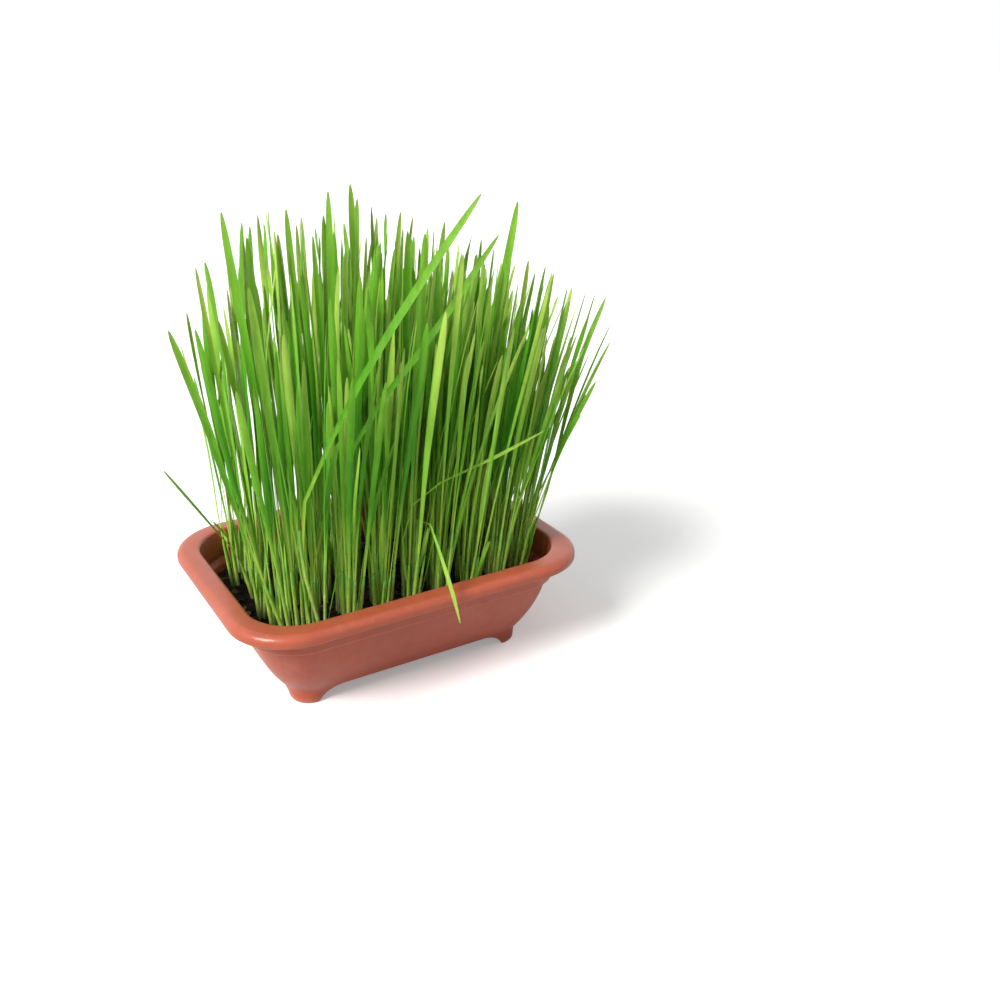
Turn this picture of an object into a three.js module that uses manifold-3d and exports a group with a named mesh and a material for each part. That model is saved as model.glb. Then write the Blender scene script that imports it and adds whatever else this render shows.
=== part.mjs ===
// A wheatgrass tray: a shallow terracotta-coloured plastic tray on four corner feet, filled with dark
// potting soil, with tufts of young wheat standing in it. Millimetres, +Z up, long side along X, front
// towards -Y.
// The origin is on the ground, under the middle of the tray.
import * as THREE from "three";
import { mergeVertices } from "three/addons/utils/BufferGeometryUtils.js";
import Module from "manifold-3d";

// Tray, as seen from above
const TRAY_LENGTH = 190;
const TRAY_WIDTH = 144;
const CORNER_RADIUS = 32;
const RADIUS_LOSS = 0.63; // how fast the corners tighten as an outline moves inwards
const CORNER_STEPS = 5;

// Tray, from the ground up. An inset is measured inwards from the rim's outer edge.
const TRAY_HEIGHT = 58;
const BASE_HEIGHT = 8;
const FLOOR_HEIGHT = 10.4;
const FLOOR_INSET = 30.2;
const STEP_HEIGHT = 41.2;
const WALL_TOP_INSET = 13;
const WALL_SLOPE = 0.16;
const WALL_BOW = 0.0092;
const WALL_THICKNESS = 2;
const BAND_FOOT_INSET = 10.4;
const BAND_TOP_INSET = 8.5;
const RIM_WIDTH = 11.2;
const RIM_THICKNESS = 2.3;
const RIM_EDGE_RADIUS = 3.9;
const SKIRT_HEIGHT = 6.4;
const FOOT_INSET = 30;
const FOOT_RADIUS = 10;
const FOOT_WALL = 3;
const LONG_FOOT = 10.8; // length of a foot along the long side, where it stands on the ground
const SHORT_FOOT = 11.5;
const ARCH_RUN = 14; // over which the arch between two feet rises
const ARCH_LEAN = 5; // and how far its steepest part leans
const DRAIN_RADIUS = 3.5;
const DRAIN_X = 34;
const DRAIN_Y = 17;

// Soil
const SOIL_HEIGHT = 38;
const SOIL_GAP = 0.4;
const SOIL_BEVEL = 1.8; // where the soil sinks towards the wall
const CRUMB_COUNT = 16;

// Tufts of grass
const TUFT_COLUMNS = 9;
const TUFT_ROWS = 6;
const TUFT_REACH_X = 68;
const TUFT_REACH_Y = 45.5;
const TUFT_CORNER = 20;
const TUFT_STAGGER = 3;
const TUFT_JITTER = 1.8;
const ROOT_HEIGHT = 31;
const CROWN_RADIUS = 5.1;
const CROWN_BOTTOM = 28.6;
const CROWN_TOP = 33;
const PIT_TOP_RADIUS = 6.8;
const PIT_BOTTOM_RADIUS = 5.3;
const PIT_BOTTOM = 28;

// Shoots, the single blades of a tuft
const SHOOTS_PER_TUFT = 8;
const ROOT_RING = 3.1;
const STAGES = [0, 0.48, 0.85, 1]; // root, widest place, shoulder and tip, as shares of the length
const HALF_WIDTHS = [0.75, 1.9, 1.6, 0];
const KEELS = [1.2, 1.2, 0.9, 0];
const LONGEST = 200;
const SHORTEST = 124;
const TALL_SHARE = 0.6; // the smaller this power, the more blades are nearly the longest
const GAPPY_END = -42; // tufts beyond this, at the tray's left end, have fewer and lower blades
const GAPPY_SHOOTS = 5;
const GAPPY_TALL_SHARE = 1.4;
const END_LOSS = 0.18; // how much shorter the grass is at the tray's right end
const FAN_X = 0.24; // outward lean of a whole tuft, as a share of its distance from the middle
const FAN_Y = 0.3;
const FAN_SHIFT = 10; // and the lean to the right that all tufts share
const SPREAD = 15; // how far the blades of a tuft fan out
const WANDER = 16; // and wander from that
const CLEARANCE = 0.45;
const OWN_SHARE = 0.95; // how near blades of one tuft may come, as a share of their widths
const ROOM_STEP = 4;
const TRIES = 60;
const REACH_X = 112; // the outermost tips, which keep the whole centred over the origin
const REACH_Y = 80;
const LEFT_REACH = 95; // of the low blades that are no strays
const LEFT_SLANT = 0.28; // and how much less that is towards the back
const LEFT_SHOULDER = 188; // and for each millimetre above this height
const LEFT_TAPER = 0.7;
const SEED = 20;

// Single blades that leave the rest, as the points that they pass after their root
const STRAYS = [
  { scale: 0.7, facing: -0.236, path: [[-71.4, 11.4, 61.3], [-87.1, -4.4, 90.4], [-REACH_X, -29.4, 133.9]] },
  {
    scale: 0.95,
    facing: 2.576,
    path: [
      [0.4, -47, 70], [1.2, -49, 92], [2.6, -53.5, 96],
      [4.2, -62, 83], [5.6, -74.5, 61], [6.8, -REACH_Y, 45.9],
    ],
  },
  {
    scale: 0.85,
    facing: -0.527,
    path: [[-6.5, -47, 80.4], [0.4, -49, 101.4], [15.6, -54, 111], [33.5, -58, 117], [64.9, -63, 129.1]],
  },
  {
    scale: 1.05,
    facing: -0.655,
    path: [[-59.3, -49, 100], [-40.7, -60, 152.2], [-15, -66, 194.3], [25.2, -72, 246.6]],
  },
  {
    scale: 0.95,
    facing: -0.609,
    path: [[-35.2, -48, 119.2], [-26.5, -58, 149.6], [2.3, -65, 185], [35, -70, 228.2]],
  },
  {
    scale: 0.9,
    facing: -0.631,
    path: [[75.5, -38.6, 62], [84.4, -40.5, 90.8], [99.1, -43.8, 154.4], [REACH_X, -46.6, 186.9]],
  },
  {
    scale: 1.1,
    facing: -0.437,
    path: [[-80, -40, 90], [-91, -46.2, 135.3], [-96.7, -50, 160.3], [-109, -58, 202.1]],
  },
  { scale: 1, facing: -0.545, path: [[18, 50, 90], [22, 60, 150], [26, REACH_Y, 214]] },
  { scale: 1.15, facing: -0.545, path: [[-62, -15, 120], [-70, -14, 239]] },
  { scale: 1.05, facing: -0.4, path: [[-37, -8, 130], [-39.5, -10, 237.4]] },
  { scale: 1.1, facing: -0.7, path: [[-18, 0, 130], [-14.9, 0, 242.4]] },
  { scale: 1.15, facing: -0.3, path: [[-2, 2, 130], [-3.7, 0, 244.8]] },
  { scale: 1.2, facing: -0.7, path: [[55, -22, 130], [72.2, -26, 234.7]] },
];

const wasm = await Module();
wasm.setup();

// The solid of a closed geometry, and the geometry of a solid
function solidOf(geometry) {
  const bare = geometry.clone();
  bare.deleteAttribute("normal");
  bare.deleteAttribute("uv");
  const merged = mergeVertices(bare, 1e-4);
  return new wasm.Manifold(
    new wasm.Mesh({
      numProp: 3,
      vertProperties: merged.attributes.position.array,
      triVerts: new Uint32Array(merged.index.array),
    }),
  );
}

function geometryOf(solid) {
  const mesh = solid.getMesh();
  const geometry = new THREE.BufferGeometry();
  geometry.setAttribute("position", new THREE.BufferAttribute(mesh.vertProperties, 3));
  geometry.setIndex(new THREE.BufferAttribute(mesh.triVerts, 1));
  return geometry;
}

// Repeatable random numbers from 0 to 1
function randomFrom(seed) {
  let state = seed >>> 0;
  return () => {
    state = (state + 0x6d2b79f5) >>> 0;
    let t = Math.imul(state ^ (state >>> 15), 1 | state);
    t = (t + Math.imul(t ^ (t >>> 7), 61 | t)) ^ t;
    return ((t ^ (t >>> 14)) >>> 0) / 4294967296;
  };
}

// One level of the tray's plan: a rectangle with round corners, at an inset and a height
function outline(inset, height, radius = CORNER_RADIUS - RADIUS_LOSS * inset) {
  const x = TRAY_LENGTH / 2 - inset;
  const y = TRAY_WIDTH / 2 - inset;
  const r = Math.min(radius, x, y);
  const points = [];
  for (const [sx, sy, turn] of [[1, 1, 0], [-1, 1, 1], [-1, -1, 2], [1, -1, 3]]) {
    for (let k = 0; k <= CORNER_STEPS; k++) {
      const a = (turn + k / CORNER_STEPS) * (Math.PI / 2);
      points.push([sx * (x - r) + r * Math.cos(a), sy * (y - r) + r * Math.sin(a), height]);
    }
  }
  return points;
}

// A closed geometry through outlines of equal count, with a flat cap on the first and the last
function loft(rings) {
  const count = rings[0].length;
  const triangles = [];
  for (let k = 0; k + 1 < rings.length; k++) {
    for (let i = 0; i < count; i++) {
      const a = k * count + i;
      const b = k * count + ((i + 1) % count);
      triangles.push(a, b, a + count, b, b + count, a + count);
    }
  }
  const last = (rings.length - 1) * count;
  for (let i = 1; i + 1 < count; i++) {
    triangles.push(0, i + 1, i, last, last + i, last + i + 1);
  }
  const geometry = new THREE.BufferGeometry();
  geometry.setAttribute("position", new THREE.Float32BufferAttribute(rings.flat(2), 3));
  geometry.setIndex(triangles);
  return geometry;
}

// Points of a circular arc in a wall's section, as [inset, height]
function arc(inset, height, radius, from, to, steps) {
  return Array.from({ length: steps + 1 }, (_, k) => {
    const a = THREE.MathUtils.degToRad(from + ((to - from) * k) / steps);
    return [inset - radius * Math.cos(a), height + radius * Math.sin(a)];
  });
}

function wallInset(height) {
  const drop = STEP_HEIGHT - height;
  return WALL_TOP_INSET + WALL_SLOPE * drop + WALL_BOW * drop * drop;
}

// The tray's section runs from its base up the outside, over the rim and down the inside to its floor
function traySection() {
  const skirtFoot = TRAY_HEIGHT - SKIRT_HEIGHT;
  const underRim = TRAY_HEIGHT - RIM_THICKNESS;
  const outside = [9.4, 13, 17.5, 23, 28.5, 34].map((z) => [wallInset(z), z]);
  const inside = [33, 22, 12.2].map((z) => [wallInset(z) + WALL_THICKNESS, z]);
  return [
    [wallInset(BASE_HEIGHT) + 0.8, BASE_HEIGHT],
    ...outside,
    [WALL_TOP_INSET, STEP_HEIGHT - 0.4],
    [BAND_FOOT_INSET + 0.2, STEP_HEIGHT],
    [BAND_FOOT_INSET - 0.2, STEP_HEIGHT + 1],
    [BAND_TOP_INSET, underRim],
    [RIM_THICKNESS, underRim],
    [RIM_THICKNESS - 0.3, skirtFoot + 0.4],
    [0.8, skirtFoot],
    [0, skirtFoot + 0.8],
    ...arc(RIM_EDGE_RADIUS, TRAY_HEIGHT - RIM_EDGE_RADIUS, RIM_EDGE_RADIUS, 8, 90, 3),
    [RIM_WIDTH - 1.2, TRAY_HEIGHT],
    [RIM_WIDTH, TRAY_HEIGHT - 1],
    [BAND_FOOT_INSET + WALL_THICKNESS, STEP_HEIGHT + 1.6],
    [WALL_TOP_INSET + WALL_THICKNESS, STEP_HEIGHT - 0.6],
    ...inside,
    [FLOOR_INSET, FLOOR_HEIGHT],
  ];
}

// The gap between two feet, as a long bar whose ends flare: half its length on the ground, its depth
function archCutter(half, depth) {
  const shape = new THREE.Shape();
  shape.moveTo(-half, -1);
  shape.lineTo(half, -1);
  shape.lineTo(half, 0);
  shape.quadraticCurveTo(half - ARCH_LEAN, BASE_HEIGHT, half - ARCH_RUN, BASE_HEIGHT);
  shape.lineTo(ARCH_RUN - half, BASE_HEIGHT);
  shape.quadraticCurveTo(ARCH_LEAN - half, BASE_HEIGHT, -half, 0);
  shape.closePath();
  const bar = new THREE.ExtrudeGeometry(shape, { depth, bevelEnabled: false, curveSegments: 5 });
  return bar.translate(0, 0, -depth / 2).rotateX(Math.PI / 2);
}

// The four feet are the corners of a low wall under the base, with an arch cut out of each side
function feet() {
  const under = BASE_HEIGHT + 1.2;
  const wall = loft([
    outline(FOOT_INSET + 0.7, 0, FOOT_RADIUS),
    outline(FOOT_INSET + 0.1, 1.1, FOOT_RADIUS),
    outline(FOOT_INSET, 2.8, FOOT_RADIUS),
    outline(wallInset(BASE_HEIGHT) + 0.6, BASE_HEIGHT),
    outline(wallInset(under) + 0.7, under),
  ]);
  const hollow = loft([
    outline(FOOT_INSET + FOOT_WALL, -1, FOOT_RADIUS - 2),
    outline(FOOT_INSET + FOOT_WALL - 1, BASE_HEIGHT, FOOT_RADIUS - 2),
  ]);
  const longArch = archCutter(TRAY_LENGTH / 2 - FOOT_INSET - LONG_FOOT, TRAY_WIDTH);
  const shortArch = archCutter(TRAY_WIDTH / 2 - FOOT_INSET - SHORT_FOOT, TRAY_LENGTH);
  return solidOf(wall)
    .subtract(solidOf(hollow))
    .subtract(solidOf(longArch))
    .subtract(solidOf(shortArch.rotateZ(Math.PI / 2)));
}

function drain(x, y) {
  const hole = new THREE.CylinderGeometry(DRAIN_RADIUS, DRAIN_RADIUS, 6, 8);
  return solidOf(hole.rotateX(Math.PI / 2).translate(x, y, (BASE_HEIGHT + FLOOR_HEIGHT) / 2));
}

function trayGeometry() {
  let tray = solidOf(loft(traySection().map(([inset, z]) => outline(inset, z)))).add(feet());
  for (const sx of [-1, 1]) {
    for (const sy of [-1, 1]) {
      tray = tray.subtract(drain(sx * DRAIN_X, sy * DRAIN_Y));
    }
  }
  return geometryOf(tray);
}

// Distance by which a point lies inside a rectangle of half sizes x and y with round corners
function depthInside(px, py, x, y, radius) {
  const dx = Math.abs(px) - (x - radius);
  const dy = Math.abs(py) - (y - radius);
  const corner = Math.hypot(Math.max(dx, 0), Math.max(dy, 0));
  return radius - corner - Math.min(Math.max(dx, dy), 0);
}

// Tufts stand in a grid whose places are shifted a little and kept off the wall
function tuftPlaces(random) {
  const places = [];
  for (let row = 0; row < TUFT_ROWS; row++) {
    for (let column = 0; column < TUFT_COLUMNS; column++) {
      const stagger = row % 2 ? TUFT_STAGGER : -TUFT_STAGGER;
      let x = TUFT_REACH_X * ((2 * column) / (TUFT_COLUMNS - 1) - 1) + stagger;
      let y = TUFT_REACH_Y * ((2 * row) / (TUFT_ROWS - 1) - 1);
      x += TUFT_JITTER * (2 * random() - 1);
      y += TUFT_JITTER * (2 * random() - 1);
      while (depthInside(x, y, TUFT_REACH_X + 1.5, TUFT_REACH_Y + 1, TUFT_CORNER) < 0) {
        x *= 0.985;
        y *= 0.985;
      }
      places.push([x, y]);
    }
  }
  return places;
}

// A value of a profile that is given at the stages, at any share of the length
function along(profile, share) {
  let k = 0;
  while (k < STAGES.length - 2 && share > STAGES[k + 1]) k++;
  return profile[k] + ((profile[k + 1] - profile[k]) * (share - STAGES[k])) / (STAGES[k + 1] - STAGES[k]);
}

function distance(a, b) {
  return Math.sqrt((a[0] - b[0]) ** 2 + (a[1] - b[1]) ** 2 + (a[2] - b[2]) ** 2);
}

// A shoot is its centre line from root to tip, with the half width and the keel of its blade at each point,
// the way that its flat side faces at the root, and how far that turns on the way up
function shootAlong(points, scale, facing, twist) {
  const run = [0];
  for (let k = 1; k < points.length; k++) run.push(run[k - 1] + distance(points[k - 1], points[k]));
  const shares = run.map((r) => r / run[run.length - 1]);
  const halves = shares.map((share) => scale * along(HALF_WIDTHS, share));
  return { points, shares, halves, keels: shares.map((share) => along(KEELS, share)), facing, twist };
}

// The room that a shoot takes, as points [x, y, z, half width] along it
function roomOf({ points, halves }) {
  const room = [];
  for (let k = 0; k + 1 < points.length; k++) {
    const [a, b] = [points[k], points[k + 1]];
    const steps = Math.max(1, Math.ceil(distance(a, b) / ROOM_STEP));
    for (let j = 0; j < steps; j++) {
      const s = (j + 0.5) / steps;
      const at = [0, 1, 2].map((i) => a[i] + (b[i] - a[i]) * s);
      room.push([...at, halves[k] + (halves[k + 1] - halves[k]) * s]);
    }
  }
  return room;
}

// Whether a shoot stays clear of points taken by others, which come closer than their widths by the share
function clearOf({ points, halves }, taken, share, gap, above) {
  const most = Math.max(...halves);
  const low = [0, 1, 2].map((i) => Math.min(...points.map((p) => p[i])));
  const high = [0, 1, 2].map((i) => Math.max(...points.map((p) => p[i])));
  for (const [x, y, z, half] of taken) {
    const reach = most + half + gap;
    if (z < above || x < low[0] - reach || x > high[0] + reach) continue;
    if (y < low[1] - reach || y > high[1] + reach) continue;
    for (let k = 0; k + 1 < points.length; k++) {
      const [a, b] = [points[k], points[k + 1]];
      const [dx, dy, dz] = [b[0] - a[0], b[1] - a[1], b[2] - a[2]];
      const dot = (x - a[0]) * dx + (y - a[1]) * dy + (z - a[2]) * dz;
      const s = Math.min(1, Math.max(0, dot / (dx * dx + dy * dy + dz * dz)));
      const away = distance([x, y, z], [a[0] + s * dx, a[1] + s * dy, a[2] + s * dz]);
      if (away < share * (half + halves[k] + (halves[k + 1] - halves[k]) * s) + gap) return false;
    }
  }
  return true;
}

// Whether a shoot stays within the outermost tips, and inside the tray up to its rim
function insideTray(shoot) {
  const tip = shoot.points[shoot.points.length - 1];
  const high = Math.max(0, tip[2] - LEFT_SHOULDER);
  if (tip[0] < LEFT_SLANT * tip[1] + LEFT_TAPER * high - LEFT_REACH || tip[0] > REACH_X - 1.5) return false;
  if (Math.abs(tip[1]) > REACH_Y - 1.5) return false;
  return roomOf(shoot).every(([x, y, z, half]) => {
    if (z > TRAY_HEIGHT + 2) return true;
    const skin = z > STEP_HEIGHT - 1 ? BAND_FOOT_INSET : WALL_TOP_INSET + 1.5;
    const inset = skin + WALL_THICKNESS;
    const inside = depthInside(x, y, TRAY_LENGTH / 2 - inset, TRAY_WIDTH / 2 - inset, CORNER_RADIUS - inset);
    return inside > half + 0.8;
  });
}

// The strays come first, each from the tuft that is nearest to it
function growStrays(tufts) {
  for (const { path, scale, facing } of STRAYS) {
    const [first, last] = [path[0], path[path.length - 1]];
    const home = tufts.reduce((best, t) => {
      const far = (u) => Math.hypot(u.x - first[0], u.y - first[1]);
      return far(t) < far(best) ? t : best;
    });
    const a = Math.atan2(last[1] - home.y, last[0] - home.x);
    const root = [home.x + ROOT_RING * Math.cos(a), home.y + ROOT_RING * Math.sin(a), ROOT_HEIGHT];
    home.shoots.push(shootAlong([root, ...path], scale, facing, 0));
  }
}

// One ordinary shoot of a tuft: number k, which stands on the ring, or in its middle if it is the last
function ordinaryShoot(random, { x, y }, phase, k) {
  const a = phase + (2 * Math.PI * k) / (SHOOTS_PER_TUFT - 1) + 0.5 * (random() - 0.5);
  const ring = k === SHOOTS_PER_TUFT - 1 ? 0 : ROOT_RING;
  const spread = SPREAD * (0.3 + 0.7 * random()) * (ring ? 1 : 0.3);
  const end = x > 0 ? (x / TUFT_REACH_X) ** 2 : 0;
  const power = x < GAPPY_END ? GAPPY_TALL_SHARE : TALL_SHARE;
  const length = (SHORTEST + (LONGEST - SHORTEST) * random() ** power) * (1 - END_LOSS * end);
  const share = length / LONGEST;
  const leanX = share * (FAN_X * x + FAN_SHIFT + spread * Math.cos(a) + WANDER * (random() + random() - 1));
  const leanY = share * (FAN_Y * y + spread * Math.sin(a) + WANDER * (random() + random() - 1));
  const height = Math.sqrt(length * length - leanX * leanX - leanY * leanY);
  const bend = 0.35 + 0.6 * random();
  const scale = 0.8 + 0.35 * random();
  const facing = random() * Math.PI;
  const twist = 1.2 * (random() - 0.5);
  const points = STAGES.map((t) => {
    const out = bend * t + (1 - bend) * t * t;
    return [
      x + ring * Math.cos(a) + leanX * out,
      y + ring * Math.sin(a) + leanY * out,
      ROOT_HEIGHT + height * t,
    ];
  });
  return shootAlong(points, scale, facing, twist);
}

// The blades of every tuft, each fitted in among those before it
function growTufts() {
  const random = randomFrom(SEED);
  const tufts = tuftPlaces(random).map(([x, y]) => ({ x, y, shoots: [] }));
  growStrays(tufts);
  const taken = tufts.flatMap((t) => t.shoots.flatMap(roomOf));
  for (const tuft of tufts) {
    const phase = random() * 2 * Math.PI;
    const own = tuft.shoots.flatMap(roomOf);
    const others = taken.filter((point) => !own.some((mine) => distance(mine, point) < 1e-6));
    const count = tuft.x < GAPPY_END ? GAPPY_SHOOTS : SHOOTS_PER_TUFT;
    for (let k = SHOOTS_PER_TUFT - count; k < SHOOTS_PER_TUFT; k++) {
      for (let attempt = 0; attempt < TRIES; attempt++) {
        const shoot = ordinaryShoot(random, tuft, phase, k);
        if (!insideTray(shoot) || !clearOf(shoot, others, 1, CLEARANCE, ROOT_HEIGHT)) continue;
        if (!clearOf(shoot, own, OWN_SHARE, 0, SOIL_HEIGHT)) continue;
        tuft.shoots.push(shoot);
        own.push(...roomOf(shoot));
        taken.push(...roomOf(shoot));
        break;
      }
    }
  }
  return tufts;
}

// A blade as a three-sided solid: two edges and a keel, closed at the root and pointed at the tip
function bladeGeometry({ points, shares, halves, keels, facing, twist }) {
  const centres = points.map((p) => new THREE.Vector3(...p));
  const last = centres.length - 1;
  const corners = [];
  for (let k = 0; k < last; k++) {
    const forward = centres[k + 1].clone().sub(centres[Math.max(k - 1, 0)]).normalize();
    const turn = facing + twist * shares[k];
    const side = new THREE.Vector3(Math.cos(turn), Math.sin(turn), 0);
    side.addScaledVector(forward, -side.dot(forward)).normalize();
    const back = new THREE.Vector3().crossVectors(forward, side);
    corners.push(
      centres[k].clone().addScaledVector(side, -halves[k]).addScaledVector(back, -keels[k] / 3),
      centres[k].clone().addScaledVector(side, halves[k]).addScaledVector(back, -keels[k] / 3),
      centres[k].clone().addScaledVector(back, (2 * keels[k]) / 3),
    );
  }
  const tip = corners.push(centres[last]) - 1;
  const triangles = [2, 1, 0];
  for (let k = 0; k < last; k++) {
    for (let i = 0; i < 3; i++) {
      const a = 3 * k + i;
      const b = 3 * k + ((i + 1) % 3);
      if (k === last - 1) {
        triangles.push(a, b, tip);
      } else {
        triangles.push(a, b, a + 3, b, b + 3, a + 3);
      }
    }
  }
  const geometry = new THREE.BufferGeometry();
  geometry.setAttribute("position", new THREE.Float32BufferAttribute(corners.flatMap((c) => c.toArray()), 3));
  geometry.setIndex(triangles);
  return geometry;
}

// An upright six-sided plug or pit, with its own radius at the bottom and the top
function plug(x, y, bottom, top, bottomRadius, topRadius) {
  const body = new THREE.CylinderGeometry(topRadius, bottomRadius, top - bottom, 6);
  return solidOf(body.rotateX(Math.PI / 2).translate(x, y, (bottom + top) / 2));
}

// A tuft is its blades, joined under the soil by the crown that they grow from
function tuftGeometry({ x, y, shoots }) {
  const crown = plug(x, y, CROWN_BOTTOM, CROWN_TOP, CROWN_RADIUS - 0.8, CROWN_RADIUS);
  const blades = shoots.map((shoot) => solidOf(bladeGeometry(shoot)));
  return geometryOf(wasm.Manifold.union([crown, ...blades]));
}

// Crumbs of bark and peat that lie half sunk in the soil, away from the tufts
function crumbs(tufts) {
  const random = randomFrom(SEED + 1);
  const placed = [];
  while (placed.length < CRUMB_COUNT) {
    const x = (2 * random() - 1) * (TRAY_LENGTH / 2 - 20);
    const y = (2 * random() - 1) * (TRAY_WIDTH / 2 - 20);
    const size = 1.6 + 1.6 * random();
    const turn = random() * Math.PI;
    const free = tufts.every((t) => Math.hypot(t.x - x, t.y - y) > PIT_TOP_RADIUS + 1.9 * size);
    const depth = depthInside(x, y, TRAY_LENGTH / 2 - 16, TRAY_WIDTH / 2 - 16, CORNER_RADIUS - 10);
    const inside = depth > 1.9 * size;
    if (free && inside) {
      const crumb = new THREE.IcosahedronGeometry(size, 0).scale(1.7, 1, 0.8).rotateZ(turn);
      placed.push(solidOf(crumb.translate(x, y, SOIL_HEIGHT + 0.2 * size)));
    }
  }
  return placed;
}

// The soil fills the tray to just under its step, and has a pit for each tuft
function soilGeometry(tufts) {
  const sides = [FLOOR_HEIGHT + 0.5, 12.6, 22].map((z) => [wallInset(z) + WALL_THICKNESS + SOIL_GAP, z]);
  sides[0][0] = FLOOR_INSET + 0.5;
  const edge = wallInset(SOIL_HEIGHT) + WALL_THICKNESS + SOIL_GAP;
  const top = [[edge + 0.2, SOIL_HEIGHT - 1], [edge + SOIL_BEVEL, SOIL_HEIGHT]];
  const rings = [...sides, ...top].map(([inset, z]) => outline(inset, z));
  const pits = tufts.map((t) =>
    plug(t.x, t.y, PIT_BOTTOM, SOIL_HEIGHT + 4, PIT_BOTTOM_RADIUS, PIT_TOP_RADIUS));
  const filled = wasm.Manifold.union([solidOf(loft(rings)), ...crumbs(tufts)]);
  return geometryOf(filled.subtract(wasm.Manifold.union(pits)));
}

function piece(name, geometry, colour, roughness) {
  const material = new THREE.MeshStandardMaterial({ color: colour, roughness, metalness: 0 });
  const mesh = new THREE.Mesh(geometry, material);
  mesh.name = name;
  return mesh;
}

const tufts = growTufts();
const whole = new THREE.Group();
whole.add(piece("tray", trayGeometry(), 0xb4583f, 0.5));
whole.add(piece("soil", soilGeometry(tufts), 0x1d1613, 1));
tufts.forEach((tuft, k) => {
  const name = `grass_tuft_${String(k + 1).padStart(2, "0")}`;
  whole.add(piece(name, tuftGeometry(tuft), 0x5a9a2c, 0.6));
});

export default whole;
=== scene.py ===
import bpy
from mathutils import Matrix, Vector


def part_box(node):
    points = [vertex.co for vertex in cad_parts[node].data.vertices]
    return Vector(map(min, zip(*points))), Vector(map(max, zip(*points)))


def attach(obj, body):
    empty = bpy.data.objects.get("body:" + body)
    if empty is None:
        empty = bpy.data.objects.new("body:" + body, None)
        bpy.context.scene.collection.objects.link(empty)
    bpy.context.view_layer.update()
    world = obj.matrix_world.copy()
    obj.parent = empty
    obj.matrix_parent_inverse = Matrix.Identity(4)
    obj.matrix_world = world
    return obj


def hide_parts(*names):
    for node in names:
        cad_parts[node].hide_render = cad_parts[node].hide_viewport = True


bl_info = {
    "name": "Wheatgrass Tray",
    "version": (1, 0, 0),
    "blender": (4, 5, 0),
    "location": "View3D > Sidebar > Wheatgrass",
    "description": "Builds a plastic tray of potting soil with a dense stand of young wheat",
    "category": "Add Mesh",
}

import math
import random

import bmesh
import bpy
import numpy as np
from bpy.props import FloatProperty, FloatVectorProperty, IntProperty, PointerProperty
from mathutils import Matrix, Vector, noise

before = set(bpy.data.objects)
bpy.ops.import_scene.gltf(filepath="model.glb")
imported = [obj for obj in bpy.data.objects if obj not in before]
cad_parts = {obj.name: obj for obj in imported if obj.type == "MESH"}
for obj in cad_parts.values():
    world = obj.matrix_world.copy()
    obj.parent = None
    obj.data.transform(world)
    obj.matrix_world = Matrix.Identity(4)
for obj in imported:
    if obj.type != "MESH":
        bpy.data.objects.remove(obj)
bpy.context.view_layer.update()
TRAY_LOW, TRAY_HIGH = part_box("tray")

# Sizes of the tray and the growth rule are in millimetres, and MM makes them metres.
MM = 0.001

# The photo's camera, in the tray's own frame
CAMERA_PLACE = (-0.2079, -0.4708, 0.3064)
CAMERA_TILT = math.radians(23.62)
CAMERA_TURN = math.radians(-31.25)
CAMERA_LENS = 38.0
CAMERA_SENSOR = 36.0

# Light and floor
KEY_DIRECTION = (-0.85, -0.2, 0.75)
KEY_COLOUR = (1.0, 0.985, 0.96)
FLOOR_RADIUS = 12.0
FLOOR_GLOW = 0.3
FLOOR_BOUNCE_LOSS = 0.25

# Tray, as in the solid model. An inset is measured inwards from the rim's outer edge.
TRAY_LENGTH = (TRAY_HIGH.x - TRAY_LOW.x) / MM
TRAY_WIDTH = (TRAY_HIGH.y - TRAY_LOW.y) / MM
TRAY_HEIGHT = (TRAY_HIGH.z - TRAY_LOW.z) / MM
CORNER_RADIUS = 32
RADIUS_LOSS = 0.63
BASE_HEIGHT = 8
FLOOR_HEIGHT = 10.4
FLOOR_INSET = 30.2
STEP_HEIGHT = 41.2
WALL_TOP_INSET = 13
WALL_SLOPE = 0.16
WALL_BOW = 0.0092
WALL_THICKNESS = 2
BAND_FOOT_INSET = 10.4
BAND_TOP_INSET = 8.5
RIM_WIDTH = 11.2
RIM_THICKNESS = 2.3
RIM_EDGE_RADIUS = 3.9
SKIRT_HEIGHT = 6.4
FOOT_INSET = 30
FOOT_RADIUS = 10
FOOT_WALL = 3
LONG_FOOT = 10.8
SHORT_FOOT = 11.5
ARCH_RUN = 14
ARCH_LEAN = 5
DRAIN_RADIUS = 3.5
DRAIN_X = 34
DRAIN_Y = 17
# The middle of the paler patches low on the tray's near corner, in metres
PALE_PATCH_PLACE = (-0.07, -0.052, 0.018)

# Soil, and the tufts that stand in it, as in the solid model
SOIL_HEIGHT = 38
SOIL_EDGE_GAP = 0.15
SOIL_TAPER = 0.4
LOWEST_SOIL_WALL = 12.6
# The two bark chips that show at the front, each as x, y, length, width and turn
FRONT_CHIPS = ((43.1, -11.7, 10, 1.9, -1.22), (47.7, -24.5, 10.5, 1.6, -1.14))
TUFT_COLUMNS = 9
TUFT_ROWS = 6
TUFT_REACH_X = 68
TUFT_REACH_Y = 45.5
TUFT_CORNER = 20
TUFT_STAGGER = 3
TUFT_JITTER = 1.8
ROOT_HEIGHT = 31
SHOOTS_PER_TUFT = 8
ROOT_RING = 3.1
STAGES = (0, 0.48, 0.85, 1)
HALF_WIDTHS = (0.75, 1.9, 1.6, 0)
LONGEST = 200
SHORTEST = 124
TALL_SHARE = 0.6
GAPPY_END = -42
GAPPY_SHOOTS = 5
GAPPY_TALL_SHARE = 1.4
END_LOSS = 0.18
FAN_X = 0.24
FAN_Y = 0.3
FAN_SHIFT = 10
SPREAD = 15
WANDER = 16
CLEARANCE = 0.45
OWN_SHARE = 0.95
ROOM_STEP = 4
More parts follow.
